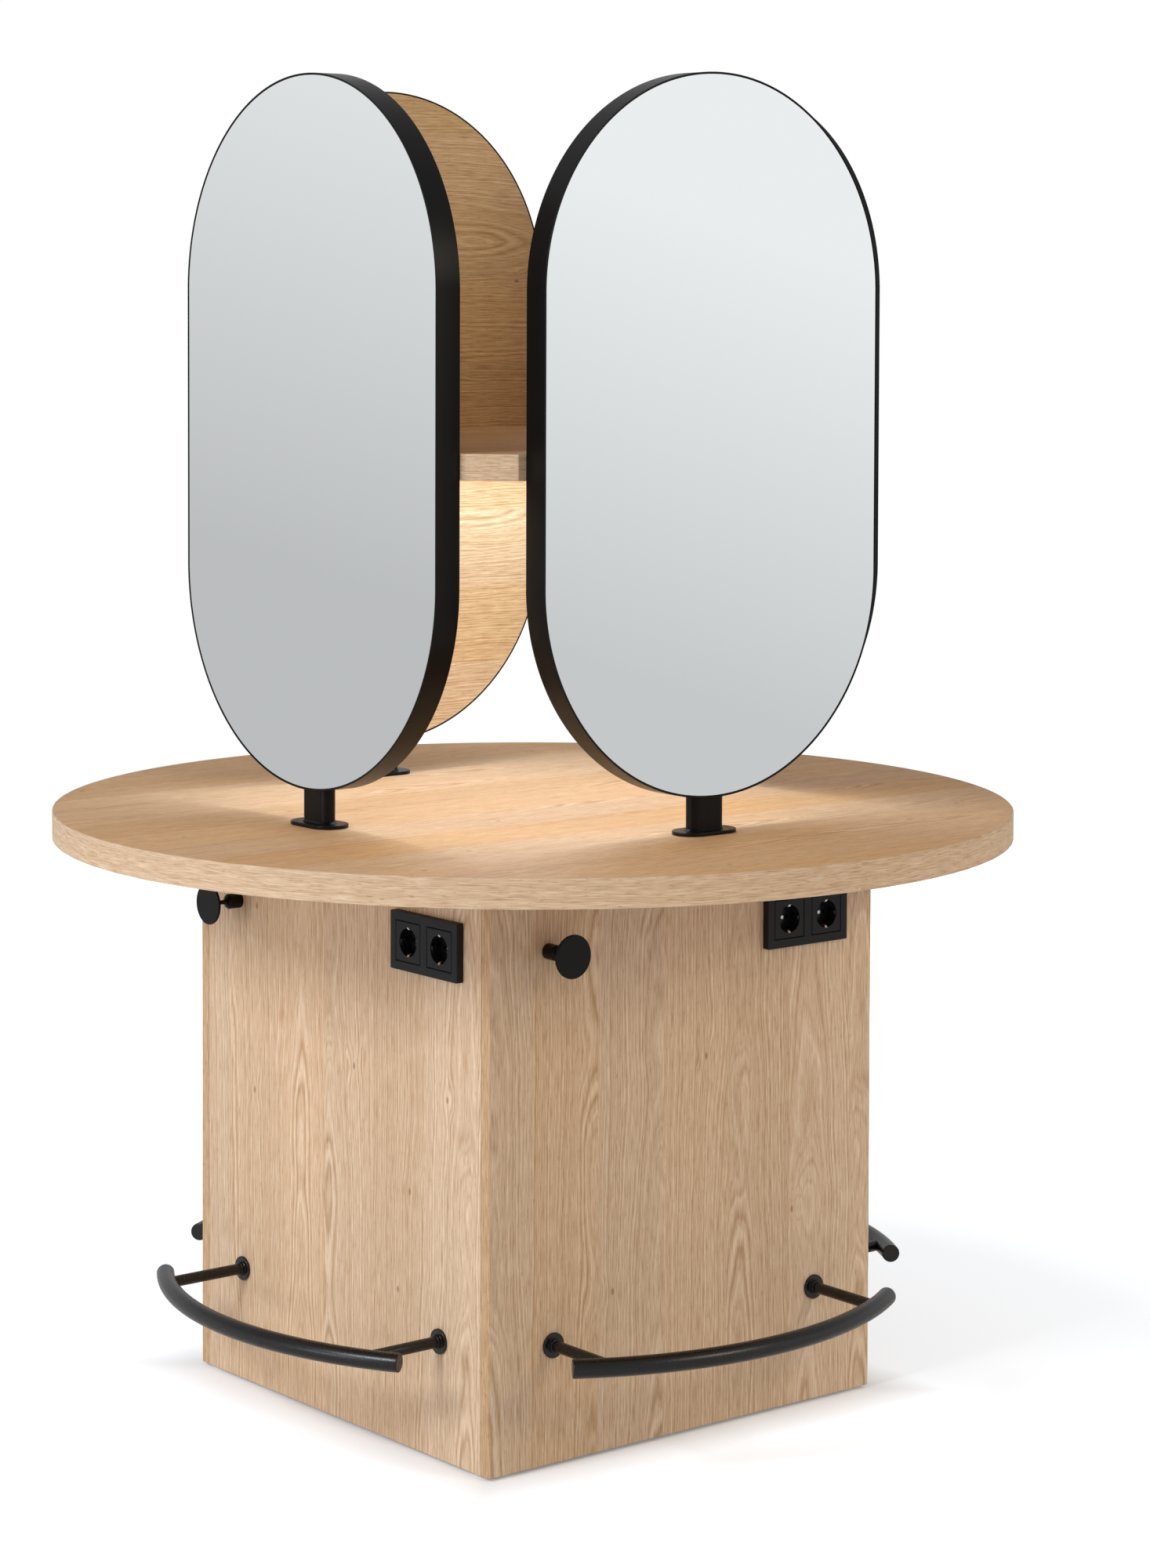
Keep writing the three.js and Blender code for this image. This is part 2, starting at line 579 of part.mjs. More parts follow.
function footPad(x, y) {
  const top = FLOOR_GAP - CLEARANCE;
  const pad = rod(FOOT_PAD_DIAMETER, [x, y, 0], [x, y, top]);
  const seat = rod(STEM_DIAMETER + 2 * CLEARANCE, [x, y, FOOT_FLOOR], [x, y, top + OVERCUT], FINE_SEGMENTS);
  return pad.subtract(seat);
}

// Threaded stem of a foot, with a driver slot in its upper end
function footStem(x, y) {
  const top = FLOOR_GAP + PANEL_THICKNESS + STEM_TAIL;
  const stem = rod(STEM_DIAMETER, [x, y, FOOT_FLOOR + CLEARANCE], [x, y, top], FINE_SEGMENTS);
  const slotLength = STEM_DIAMETER + 2 * OVERCUT;
  const slotHeight = STEM_SLOT_DEPTH + OVERCUT;
  return stem.subtract(box(slotLength, STEM_SLOT_WIDTH, slotHeight, x, y, top - STEM_SLOT_DEPTH));
}

const DRIVER_BOTTOM = TOP_BOARD_UNDERSIDE - CLEARANCE - DRIVER_HEIGHT;
const JUNCTION_BOX_BOTTOM = TOP_BOARD_UNDERSIDE - CLEARANCE - JUNCTION_BOX_HEIGHT;

function ledDriver() {
  return box(DRIVER_WIDTH, DRIVER_LENGTH, DRIVER_HEIGHT, CABLE_DROP_DISTANCE, 0, DRIVER_BOTTOM);
}

function junctionBox() {
  return box(JUNCTION_BOX_LENGTH, JUNCTION_BOX_WIDTH, JUNCTION_BOX_HEIGHT, 0, 0, JUNCTION_BOX_BOTTOM);
}

// LED cable: from the profile into the mirror board, down the stand and along the groove to the driver
function ledCable() {
  const ledEnd = LED_RING_SIDE / 2 + LED_PROFILE_WIDTH / 2 + CLEARANCE;
  return cable(CABLE_DIAMETER, [
    [ledEnd, 0, LED_CABLE_LEVEL],
    [STAND_DISTANCE, 0, LED_CABLE_LEVEL],
    [STAND_DISTANCE, 0, CABLE_GROOVE_LEVEL],
    [CABLE_DROP_DISTANCE, 0, CABLE_GROOVE_LEVEL],
    [CABLE_DROP_DISTANCE, 0, TOP_BOARD_UNDERSIDE],
  ]);
}

// Wiring: a trunk from the junction box, a branch to each pair of socket inserts and one to the driver
function wiringHarness() {
  const level = JUNCTION_BOX_BOTTOM - HARNESS_DROP;
  const top = FITTINGS_HEIGHT;
  const insertEnd = -INSERT_BACK + CLEARANCE;
  const split = -INSERT_BACK + HARNESS_SPLIT;
  const [near, far] = INSERT_OFFSETS;
  let harness = cable(CABLE_DIAMETER, [[0, 0, JUNCTION_BOX_BOTTOM - CLEARANCE], [0, 0, level]]);
  for (const side of SIDES) {
    const axis = new THREE.Vector3(0, 0, 1);
    const turnedPoint = (point) => new THREE.Vector3(...point).applyAxisAngle(axis, side.turn).toArray();
    const run = [[0, 0, level], [SOCKET_OFFSET, 0, level], [SOCKET_OFFSET, split, level]];
    const branch = [...run, [SOCKET_OFFSET, split, top]];
    const fork = [[near, insertEnd, top], [near, split, top], [far, split, top], [far, insertEnd, top]];
    harness = harness.add(cable(CABLE_DIAMETER, branch.map(turnedPoint)));
    harness = harness.add(cable(CABLE_DIAMETER, fork.map(turnedPoint)));
  }
  const driverLevel = DRIVER_BOTTOM + DRIVER_HEIGHT / 2;
  const driverEnd = CABLE_DROP_DISTANCE - DRIVER_WIDTH / 2 - CLEARANCE;
  return harness.add(cable(CABLE_DIAMETER, [
    [0, 0, level],
    [driverEnd - HARNESS_RUN, 0, level],
    [driverEnd - HARNESS_RUN, 0, driverLevel],
    [driverEnd, 0, driverLevel],
  ]));
}

// Grommet ring with a lip, in the hole of the bottom board
function cableGrommet() {
  const outer = GROMMET_HOLE_DIAMETER / 2;
  const inner = outer - GROMMET_WALL;
  const boardTop = FLOOR_GAP + PANEL_THICKNESS + CLEARANCE;
  const lipTop = boardTop + GROMMET_WALL / 2;
  const profile = [
    [inner, FLOOR_GAP],
    [outer, FLOOR_GAP],
    [outer, boardTop],
    [outer + GROMMET_LIP, boardTop],
    [outer + GROMMET_LIP, lipTop],
    [inner, lipTop],
    [inner, FLOOR_GAP],
  ];
  return solidOf(turned(profile, ROUND_SEGMENTS));
}

for (const side of SIDES) {
  const { name, turn } = side;
  addNode(`base_panel_${name}`, cabinetPanel(side.panelWidth), oak, turn);
  addNode(`mirror_frame_${name}`, mirrorFrame(), blackCoat, turn);
  addNode(`mirror_board_${name}`, mirrorBoard(name === LED_CABLE_SIDE), oak, turn);
  addNode(`mirror_glass_${name}`, mirrorGlassPane(), mirrorGlass, turn);
  addNode(`mirror_stand_${name}`, mirrorStand(), blackCoat, turn);
  addNode(`socket_frame_${name}`, socketFrame(), blackPlastic, turn);
  INSERT_OFFSETS.forEach((offset, index) => {
    addNode(`socket_insert_${name}_${index + 1}`, socketInsert(offset), blackPlastic, turn);
  });
  addNode(`hook_${name}`, hook(), blackCoat, turn);
  addNode(`foot_rail_${name}`, footRail(), blackCoat, turn);
}

for (const [depthName, y] of [['front', -FOOT_DISTANCE], ['back', FOOT_DISTANCE]]) {
  for (const [sideName, x] of [['left', -FOOT_DISTANCE], ['right', FOOT_DISTANCE]]) {
    addNode(`foot_pad_${depthName}_${sideName}`, footPad(x, y), greyPlastic);
    addNode(`foot_stem_${depthName}_${sideName}`, footStem(x, y), steel);
  }
}

addNode('base_bottom_board', bottomBoard(), oak);
addNode('base_top_board', topBoard(), oak);
addNode('table_top', tableTop(), oak);
addNode('table_edge_band', tableEdgeBand(), oak);
addNode('shelf_board', shelfBoard(), oak);
addNode('led_profile', ledProfile(), aluminium);
addNode('led_diffuser', ledDiffuser(), opal);
addNode('led_cable', ledCable(), cableSheath);
addNode('led_driver', ledDriver(), whitePlastic);
addNode('junction_box', junctionBox(), whitePlastic);
addNode('wiring_harness', wiringHarness(), cableSheath);
addNode('cable_grommet', cableGrommet(), blackPlastic);

export default station;
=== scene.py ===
"""Looks of a four-place salon station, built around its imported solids.

The file is laid out as an add-on and is run as a script. Every piece is modelled in metres in the frame of
the solids: side pieces are drawn on the front (-Y) side and turned to the other three sides.
"""
import math

import bmesh
import bpy
from mathutils import Matrix, Vector


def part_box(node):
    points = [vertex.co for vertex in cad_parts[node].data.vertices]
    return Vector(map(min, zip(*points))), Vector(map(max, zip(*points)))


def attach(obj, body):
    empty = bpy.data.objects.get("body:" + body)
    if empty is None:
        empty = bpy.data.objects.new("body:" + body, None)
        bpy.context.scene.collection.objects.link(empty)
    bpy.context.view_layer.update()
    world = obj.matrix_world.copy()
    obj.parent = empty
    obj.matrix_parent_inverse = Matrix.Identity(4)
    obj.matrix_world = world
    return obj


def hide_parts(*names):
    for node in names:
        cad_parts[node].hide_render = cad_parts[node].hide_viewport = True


bl_info = {
    "name": "Salon station",
    "version": (1, 0, 0),
    "blender": (4, 5, 0),
    "location": "3D View > Sidebar > Salon station",
    "description": "Builds the looks of a four-place salon station around its solids",
    "category": "Object",
}

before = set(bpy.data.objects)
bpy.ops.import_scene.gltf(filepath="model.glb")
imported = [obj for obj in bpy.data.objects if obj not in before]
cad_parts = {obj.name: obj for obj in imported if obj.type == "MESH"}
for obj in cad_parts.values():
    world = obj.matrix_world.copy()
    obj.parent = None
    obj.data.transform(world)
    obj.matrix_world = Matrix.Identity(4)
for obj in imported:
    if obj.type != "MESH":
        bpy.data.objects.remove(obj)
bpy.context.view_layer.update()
MM = 0.001

# The four sides and the turn that brings a piece from the front to each
SIDES = {"front": 0.0, "left": -math.pi / 2, "back": math.pi, "right": math.pi / 2}
WIDE_SIDES = ("front", "back")
CORNERS = ("front_left", "front_right", "back_left", "back_right")

# Body that carries everything but the feet
BASE = "base"

# Facets of full circles, from the table down to the pin holes, and steps along a rail's bow
TABLE_STEPS = 240
MIRROR_STEPS = 160
DISC_STEPS = 64
ROUND_STEPS = 48
SMALL_STEPS = 24
RAIL_STEPS = 56

# Faces that meet more gently than the first angle are shaded as one, and edges past the second are sharp
SMOOTH_ANGLE = math.radians(35)
SHARP_ANGLE = math.radians(40)

# Points this close are merged, and points this close to a line count as on it
MERGE = 0.001 * MM
NEAR = 0.01 * MM

# Gap between a fitted piece and its seat
GAP = 0.3 * MM

# Oak print: planks, edge strips too wide to show a joint, and how far the print of the left and right sheets
# lies from that of the front and back ones
PLANK_WIDTH = 118 * MM
STRIP_WIDTH = 1700 * MM
SHEET_SHIFT = 630 * MM

# Tints over the oak print: table and shelf are the warmest, as painted warm light on their tops,
# and the mirror backs lie between them and the cabinet, as painted warm light from the LED
TABLE_WARM_LIGHT_TINT = (0.91, 0.73, 0.5)
MIRROR_WARM_LIGHT_TINT = (0.99, 0.94, 0.75)
EDGE_TINT = (0.86, 0.79, 0.69)
BAND_TINT = (0.96, 0.95, 0.94)


# Colours and places
def linear(hex_colour):
    """Linear red, green and blue of an sRGB hex colour."""
    channels = [int(hex_colour[i:i + 2], 16) / 255 for i in (1, 3, 5)]
    return tuple(c / 12.92 if c <= 0.04045 else ((c + 0.055) / 1.055) ** 2.4 for c in channels)


def rgba(colour):
    """Colour with full alpha, for a node's colour socket."""
    return (*colour, 1.0)


def size_of(node):
    low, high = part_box(node)
    return high - low


def middle_of(node):
    low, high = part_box(node)
    return (low + high) / 2


# Settings that a user would change
def length_setting(name, description, millimetres):
    return bpy.props.FloatProperty(name=name, description=description, default=millimetres * MM,
                                   unit="LENGTH")


def colour_setting(name, description, hex_colour):
    return bpy.props.FloatVectorProperty(name=name, description=description, default=linear(hex_colour),
                                         size=3, min=0, max=1, subtype="COLOR")


class StationSizes(bpy.types.PropertyGroup):
    """Sizes that the boxes of the solids don't give."""

    board_edge: length_setting("Board edge", "Rounding of the laminated boards' edges", 1.1)
    table_edge: length_setting("Table edge", "Rounding of the table's edge band", 1.2)
    band_edge: length_setting("Band edge", "Rounding of the mirror bands' edges", 0.6)
    band_wall: length_setting("Band wall", "Rim of the mirror bands beside the glass and the board", 2.0)
    glass_edge: length_setting("Glass edge", "Ground chamfer around the mirror glass", 0.8)
    flange: length_setting("Flange", "Thickness of the stand flanges", 5.0)
    flange_edge: length_setting("Flange edge", "Rounding of the stand flanges", 1.2)
    tube_width: length_setting("Tube width", "Width of the stands' flat-oval tubes", 60.0)
    tube_depth: length_setting("Tube depth", "Depth of the stands' flat-oval tubes", 24.0)
    weld: length_setting("Weld", "Leg of the weld between a stand's tube and its flange", 2.5)
    corner_cut: length_setting("Corner cut", "Cut at the shelf's corners, along its edges", 50.0)
    groove_width: length_setting("Groove width", "Width of the shelf's groove for the light", 18.6)
    socket_edge: length_setting("Socket edge", "Rounding of the socket frames and inserts", 0.7)
    well_depth: length_setting("Well depth", "Depth of a socket's plug well", 17.5)
    well_radius: length_setting("Well radius", "Radius of a socket's plug well", 19.5)
    pin_spacing: length_setting("Pin spacing", "Distance between a socket's pin holes", 19.0)
    pin_radius: length_setting("Pin radius", "Radius of a socket's pin holes", 2.7)
    rail_radius: length_setting("Rail radius", "Radius of the foot rail's bar", 13.0)


class StationColours(bpy.types.PropertyGroup):
    """Main colours of the finishes."""

    oak_light: colour_setting("Oak, light", "Early wood of the oak laminate", "#E6CCAF")
    oak_dark: colour_setting("Oak, dark", "Late wood of the oak laminate", "#B28D69")
    oak_pore: colour_setting("Oak, pores", "Pores and knots of the oak laminate", "#96724F")
    black_coat: colour_setting("Black coat", "Powder coat on the steel", "#0B0A0A")
    black_plastic: colour_setting("Black plastic", "Socket frames and inserts", "#141415")
    silver: colour_setting("Silver", "Silvering of the mirrors", "#F1F3F3")
    # The LED lamp is bluish: the warm look of the table and mirror backs is painted by their warm-light tints
    led: colour_setting("LED light", "Light under the shelf, which the oak turns warm", "#BEDDFF")


class StationSettings(bpy.types.PropertyGroup):
    """All settings of the station."""

    sizes: bpy.props.PointerProperty(type=StationSizes, name="Sizes", description="Sizes of the pieces")
    colours: bpy.props.PointerProperty(type=StationColours, name="Colours", description="Main colours")


def sizes():
    return bpy.context.scene.salon_station.sizes


def colours():
    return bpy.context.scene.salon_station.colours


# Meshes
def finish_piece(name, form, materials, node, turn=0.0, body=BASE):
    """Makes the object that stands for a solid: turned to its side, smooth where it is round, on its body."""
    bmesh.ops.rotate(form, verts=form.verts, cent=(0, 0, 0), matrix=Matrix.Rotation(turn, 3, "Z"))
    bmesh.ops.remove_doubles(form, verts=form.verts, dist=MERGE)
    bmesh.ops.recalc_face_normals(form, faces=form.faces)
    mesh = bpy.data.meshes.new(name)
    form.to_mesh(mesh)
    form.free()
    mesh.shade_smooth()
    mesh.set_sharp_from_angle(angle=SMOOTH_ANGLE)
    for material in materials:
        mesh.materials.append(material)
    piece = bpy.data.objects.new(name, mesh)
    bpy.context.scene.collection.objects.link(piece)
    piece.modifiers.new("even_shading", "WEIGHTED_NORMAL").keep_sharp = True
    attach(piece, body)
    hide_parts(node)


def made(result, kind):
    """What an operator made, of one kind."""
    return [item for item in result["geom"] if isinstance(item, kind)]


def sharp_edges(form, least=SHARP_ANGLE):
    """Edges where two faces meet at a clear angle."""
    return [e for e in form.edges if e.is_manifold and e.calc_face_angle() > least]


def open_edges(form, verts):
    """Edges among some points that have room for a face."""
    return [e for e in form.edges if len(e.link_faces) < 2 and all(v in verts for v in e.verts)]


def round_edges(form, edges, width, segments=3):
    bmesh.ops.bevel(form, geom=edges, offset=width, offset_type="OFFSET", affect="EDGES",
                    segments=segments, profile=0.5, material=-1, clamp_overlap=True)


def rectangle(form, width, height):
    """Flat rectangle in the XY plane."""
    size = Matrix.Diagonal((width, height, 1, 1))
    bmesh.ops.create_grid(form, x_segments=1, y_segments=1, size=0.5, matrix=size)


def pill(form, width, height, steps):
    """Flat pill in the XY plane: a circle whose two halves are drawn apart along the longer way."""
    radius = min(width, height) / 2
    half_step = Matrix.Rotation(math.pi / steps, 4, "Z")
    circle = bmesh.ops.create_circle(form, cap_ends=True, radius=radius, segments=steps, matrix=half_step)
    way = 0 if width > height else 1
    stretch = abs(width - height) / 2
    for vert in circle["verts"]:
        vert.co[way] += math.copysign(stretch, vert.co[way])
    return circle["verts"][0].link_faces[0]


def hollow(form, wall):
    """Leaves only a rim of a flat face."""
    bmesh.ops.inset_region(form, faces=form.faces[:], thickness=wall, use_boundary=True, use_even_offset=True)
    hub = max(form.faces, key=lambda face: len(face.verts))
    bmesh.ops.delete(form, geom=[hub], context="FACES")


def thicken(form, depth):
    """Draws flat faces out along +Z to a closed plate."""
    drawn = bmesh.ops.extrude_face_region(form, geom=form.faces[:], use_keep_orig=True)
    bmesh.ops.translate(form, verts=made(drawn, bmesh.types.BMVert), vec=(0, 0, depth))
    bmesh.ops.recalc_face_normals(form, faces=form.faces)


def upright(place):
    """Turn and move of what is drawn in XY: its thickness then points to -Y."""
    return Matrix.Translation(place) @ Matrix.Rotation(math.pi / 2, 4, "X")


def turned(form, profile, place, steps=ROUND_STEPS):
    """Spins a profile of radius and height pairs about +Z, then puts it in place."""
    before = set(form.verts)
    verts = [form.verts.new((radius, 0, height)) for radius, height in profile]
    edges = [form.edges.new(pair) for pair in zip(verts, verts[1:])]
    bmesh.ops.spin(form, geom=verts + edges, cent=(0, 0, 0), axis=(0, 0, 1),
                   angle=2 * math.pi, steps=steps, use_merge=True)
    spun = [v for v in form.verts if v not in before]
    bmesh.ops.transform(form, matrix=place, verts=spun)
    bmesh.ops.remove_doubles(form, verts=spun, dist=MERGE)


def arc(radius, height, bend, start, end, steps):
    """Points of an arc about a radius and height, with angles in degrees."""
    angles = [math.radians(start + (end - start) * i / steps) for i in range(steps + 1)]
    return [(radius + bend * math.cos(a), height + bend * math.sin(a)) for a in angles]


# Materials
def feed(tree, node, inputs):
    """Sets a node's inputs, given by name or in order: values are set, and nodes or sockets are linked."""
    for socket, value in inputs.items() if isinstance(inputs, dict) else enumerate(inputs):
        if isinstance(value, bpy.types.Node):
            value = value.outputs[0]
        if isinstance(value, bpy.types.NodeSocket):
            tree.links.new(value, node.inputs[socket])
        else:
            node.inputs[socket].default_value = value


def add(tree, kind, inputs=(), **settings):
    """Adds a shader node with its settings and inputs."""
    node = tree.nodes.new("ShaderNode" + kind)
    for name, value in settings.items():
        setattr(node, name, value)
    feed(tree, node, inputs)
    return node


def new_material(name):
    """Node material with its tree, its surface shader and the place on the piece."""
    material = bpy.data.materials.new(name)
    material.use_nodes = True
    tree = material.node_tree
    place = add(tree, "TexCoord").outputs["Object"]
    return material, tree, tree.nodes["Principled BSDF"], place


def shared(maker, name, **settings):
    """The material of that name, made when it is first asked for."""
    return bpy.data.materials.get(name) or maker(name, **settings)


def mottled(tree, colour, noise, darkest, lightest, start=0.3, end=0.7):
    """Colour that a noise, from its start to its end value, makes darker and lighter in spots."""
    tint = add(tree, "MapRange", (noise, start, end, darkest, lightest))
    return add(tree, "HueSaturation", {"Color": rgba(colour), "Value": tint})


def oak_laminate(name, across=None, along=None, plank=PLANK_WIDTH, tint=(1, 1, 1), shift=0.0, banding=False):
    """Oak-figured laminate, pressed on board: calm satin print of oak with an open-pored press texture.

    It gives the eye planks of slightly different tone, each with long fine lines that close to narrow arches
    where its heart lies, a few pin knots that the lines part around, and short dark pores along the grain.
    Edge banding is cut from one long strip: fewer lines and more pores. With no ways given, the grain runs
    around the table's rim.
    """
    line_width, growth_width = 2.6 * MM, 14 * MM
    bend_width, bend_length, bend_reach = 42 * MM, 260 * MM, 14 * MM
    heart_spread, heart_slope, heart_start, heart_stagger = 280 * MM, 0.035, 500 * MM, 600 * MM
    wander_length, wander_depth, wander_stagger = 260 * MM, 18 * MM, 20.0
    fibre_width, fibre_length = 1.4 * MM, 34 * MM
    pore_width, pore_length = 1.5 * MM, 14 * MM
    knot_spacing, knot_radius, knot_reach, knot_share = 230 * MM, 2.4 * MM, 22 * MM, 0.8
    plank_start = 0.37
    line_share, growth_share, fibre_share, pore_share = 0.55, 0.22, 0.75, 0.45
    if banding:
        line_share, growth_share, fibre_share, pore_share = 0.15, 0.2, 0.8, 0.55
    material, tree, shader, place = new_material(name)
    woods = (colours().oak_light, colours().oak_dark, colours().oak_pore)
    light, dark, pore = [rgba(c * t for c, t in zip(wood, tint)) for wood in woods]
    if along:
        turn = Matrix((Vector(across), Vector(along), Vector(across).cross(along))).to_euler("XYZ")
        grain = add(tree, "Mapping", {"Vector": place, "Rotation": turn, "Location": (shift, 0, 0)})
    else:
        ring = add(tree, "SeparateXYZ", (place,))
        angle = add(tree, "Math", (ring.outputs[0], ring.outputs[1]), operation="ARCTAN2")
        around = add(tree, "Math", (angle, size_of("table_edge_band").x / 2), operation="MULTIPLY")
        grain = add(tree, "CombineXYZ", (ring.outputs[2], around, 0.0))
    side, lengthwise = add(tree, "SeparateXYZ", (grain,)).outputs[:2]

    def stretched_noise(width, length, detail):
        """Noise that is drawn out along the grain."""
        spread = add(tree, "Mapping", {"Vector": grain, "Scale": (1 / width, 1 / length, 0)})
        return add(tree, "TexNoise", {"Vector": spread, "Scale": 1.0, "Detail": detail})

    def line_noise(value, width, detail):
        """Noise along one value only."""
        share = add(tree, "Math", (value, width), operation="DIVIDE")
        return add(tree, "TexNoise", {"W": share, "Scale": 1.0, "Detail": detail}, noise_dimensions="1D")

    # Planks: each has its own tone and its own place of the heart
    planks = add(tree, "Math", (side, 1 / plank, plank_start), operation="MULTIPLY_ADD")
    number = add(tree, "Math", (planks,), operation="FLOOR")
    chances = add(tree, "TexWhiteNoise", {"W": number}, noise_dimensions="1D")
    chance = add(tree, "SeparateXYZ", (chances.outputs["Color"],)).outputs
    within = add(tree, "Math", (planks,), operation="FRACT")
    in_plank = add(tree, "Math", (within, plank, -(plank + heart_spread) / 2), operation="MULTIPLY_ADD")
    from_heart = add(tree, "Math", (chance[1], heart_spread, in_plank), operation="MULTIPLY_ADD")
    along_heart = add(tree, "Math", (chance[2], heart_stagger, lengthwise), operation="MULTIPLY_ADD")
    start_depth = heart_start * heart_slope - wander_depth / 2
    depth = add(tree, "Math", (along_heart, heart_slope, start_depth), operation="MULTIPLY_ADD")
    wander_place = add(tree, "Math", (chance[1], wander_stagger, lengthwise), operation="MULTIPLY_ADD")
    wander = line_noise(wander_place, wander_length, 1.0)
    dip = add(tree, "Math", (wander, wander_depth, depth), operation="MULTIPLY_ADD")
    dip_square = add(tree, "Math", (dip, dip), operation="MULTIPLY")
    square = add(tree, "Math", (from_heart, from_heart, dip_square), operation="MULTIPLY_ADD")
    rings = add(tree, "Math", (square,), operation="SQRT")

    # Knots, which the lines part around
    spread = add(tree, "Mapping", {"Vector": grain, "Scale": (1 / knot_spacing, 0.5 / knot_spacing, 0)})
    cells = add(tree, "TexVoronoi", {"Vector": spread, "Scale": 1.0}, voronoi_dimensions="2D")
    from_knot = add(tree, "Math", (cells.outputs["Distance"], knot_spacing), operation="MULTIPLY")
    knots = add(tree, "MapRange", (from_knot, 0.5 * knot_radius, 1.5 * knot_radius, knot_share, 0.0),
                interpolation_type="SMOOTHSTEP")
    knot_place = add(tree, "SeparateXYZ", (cells.outputs["Position"],))
    beside_knot = add(tree, "Math", (knot_place, -knot_spacing, side), operation="MULTIPLY_ADD")
    pull = add(tree, "MapRange", (from_knot, 0.0, knot_reach, -0.8, 0.0), interpolation_type="SMOOTHSTEP")
    swirl = add(tree, "Math", (beside_knot, pull), operation="MULTIPLY")

    # Fine lines and growth bands follow the rings
    bend = add(tree, "Math", (stretched_noise(bend_width, bend_length, 2.0), 0.5), operation="SUBTRACT")
    sway = add(tree, "Math", (bend, bend_reach, swirl), operation="MULTIPLY_ADD")
    line_place = add(tree, "Math", (rings, sway), operation="ADD")
    fine = line_noise(line_place, line_width, 1.5)
    growth = line_noise(line_place, growth_width, 2.0)

    # Fibres and pores, drawn a little coarser than the real ones so that they show in the render
    fibres = stretched_noise(fibre_width, fibre_length, 2.0)
    streaks = stretched_noise(pore_width, pore_length, 1.0)
    pores = add(tree, "MapRange", (streaks, 0.62, 0.74, 0.0, pore_share), interpolation_type="SMOOTHSTEP")
    spots = add(tree, "Math", (pores, knots), operation="MAXIMUM")

    # Colour and surface
    figure = add(tree, "Math", (fine, line_share), operation="MULTIPLY")
    figure = add(tree, "Math", (growth, growth_share, figure), operation="MULTIPLY_ADD")
    figure = add(tree, "Math", (fibres, fibre_share, figure), operation="MULTIPLY_ADD")
    middle = (line_share + growth_share + fibre_share) / 2
    late = add(tree, "MapRange", (figure, middle - 0.26, middle + 0.22, 0.0, 1.0))
    wood = add(tree, "Mix", {0: late, 6: light, 7: dark}, data_type="RGBA").outputs[2]
    spotted = add(tree, "Mix", {0: spots, 6: wood, 7: pore}, data_type="RGBA").outputs[2]
    tone = add(tree, "Math", (chance[0], 0.11, 0.945), operation="MULTIPLY_ADD")
    warmth = add(tree, "Math", (chance[2], -0.11, 1.06), operation="MULTIPLY_ADD")
    toned = add(tree, "HueSaturation", {"Color": spotted, "Value": tone, "Saturation": warmth})
    rough = add(tree, "Math", (spots, 0.15, 0.55), operation="MULTIPLY_ADD")
    raised = add(tree, "Math", (fibres, 0.3), operation="MULTIPLY")
    relief = add(tree, "Math", (raised, spots), operation="SUBTRACT")
    bump = add(tree, "Bump", {"Height": relief, "Strength": 0.25, "Distance": 0.15 * MM})
    feed(tree, shader, {"Base Color": toned, "Roughness": rough, "Normal": bump, "Specular IOR Level": 0.22})
    return material


def satin_coat(name):
    """Satin black powder coat on smooth steel: near-black with a soft sheen that mirrors at a low angle."""
    orange_peel, cloud_size = 6 * MM, 111 * MM
    material, tree, shader, place = new_material(name)
    peel = add(tree, "TexNoise", {"Vector": place, "Scale": 1 / orange_peel, "Detail": 2.0})
    cloud = add(tree, "TexNoise", {"Vector": place, "Scale": 1 / cloud_size, "Detail": 2.0})
    shade = mottled(tree, colours().black_coat, cloud, 0.85, 1.15)
    rough = add(tree, "Math", (peel, 0.08, 0.28), operation="MULTIPLY_ADD")
    feed(tree, shader, {"Base Color": shade, "Roughness": rough, "Specular IOR Level": 0.16})
    return material


def textured_coat(name):
    """Fine-texture black powder coat on steel bar: dull black grain that breaks up the highlight."""
    # The real grit is 0.3 mm; it is drawn at 1.4 mm so that it shows
    grit = 1.4 * MM
    material, tree, shader, place = new_material(name)
    grain = add(tree, "TexNoise", {"Vector": place, "Scale": 1 / grit, "Detail": 2.0})
    shade = mottled(tree, colours().black_coat, grain, 0.7, 1.35, start=0.35)
    rough = add(tree, "Math", (grain, 0.16, 0.2), operation="MULTIPLY_ADD")
    bump = add(tree, "Bump", {"Height": grain, "Strength": 0.45, "Distance": 0.25 * MM})
    feed(tree, shader, {"Base Color": shade, "Roughness": rough, "Normal": bump, "Specular IOR Level": 0.4})
    return material


def silvered_glass(name):
    """Float glass silvered on the back: a clear cool reflection with the faintest haze."""
    haze_size = 250 * MM
    material, tree, shader, place = new_material(name)
    haze = add(tree, "TexNoise", {"Vector": place, "Scale": 1 / haze_size, "Detail": 2.0})
    rough = add(tree, "Math", (haze, 0.012), operation="MULTIPLY")
    feed(tree, shader, {"Base Color": rgba(colours().silver), "Metallic": 1.0, "Roughness": rough})
    return material


def ground_glass(name):
    """Ground edge of float glass: dark green where the glass is seen through its own thickness."""
    # The real grind is 0.1 mm; it is drawn at 2 mm so that it shows
    grind_size = 2 * MM
    material, tree, shader, place = new_material(name)
    grind = add(tree, "TexNoise", {"Vector": place, "Scale": 1 / grind_size, "Detail": 1.0})
    rough = add(tree, "Math", (grind, 0.2, 0.2), operation="MULTIPLY_ADD")
    feed(tree, shader, {"Base Color": rgba(linear("#1E2E2A")), "Roughness": rough})
    return material


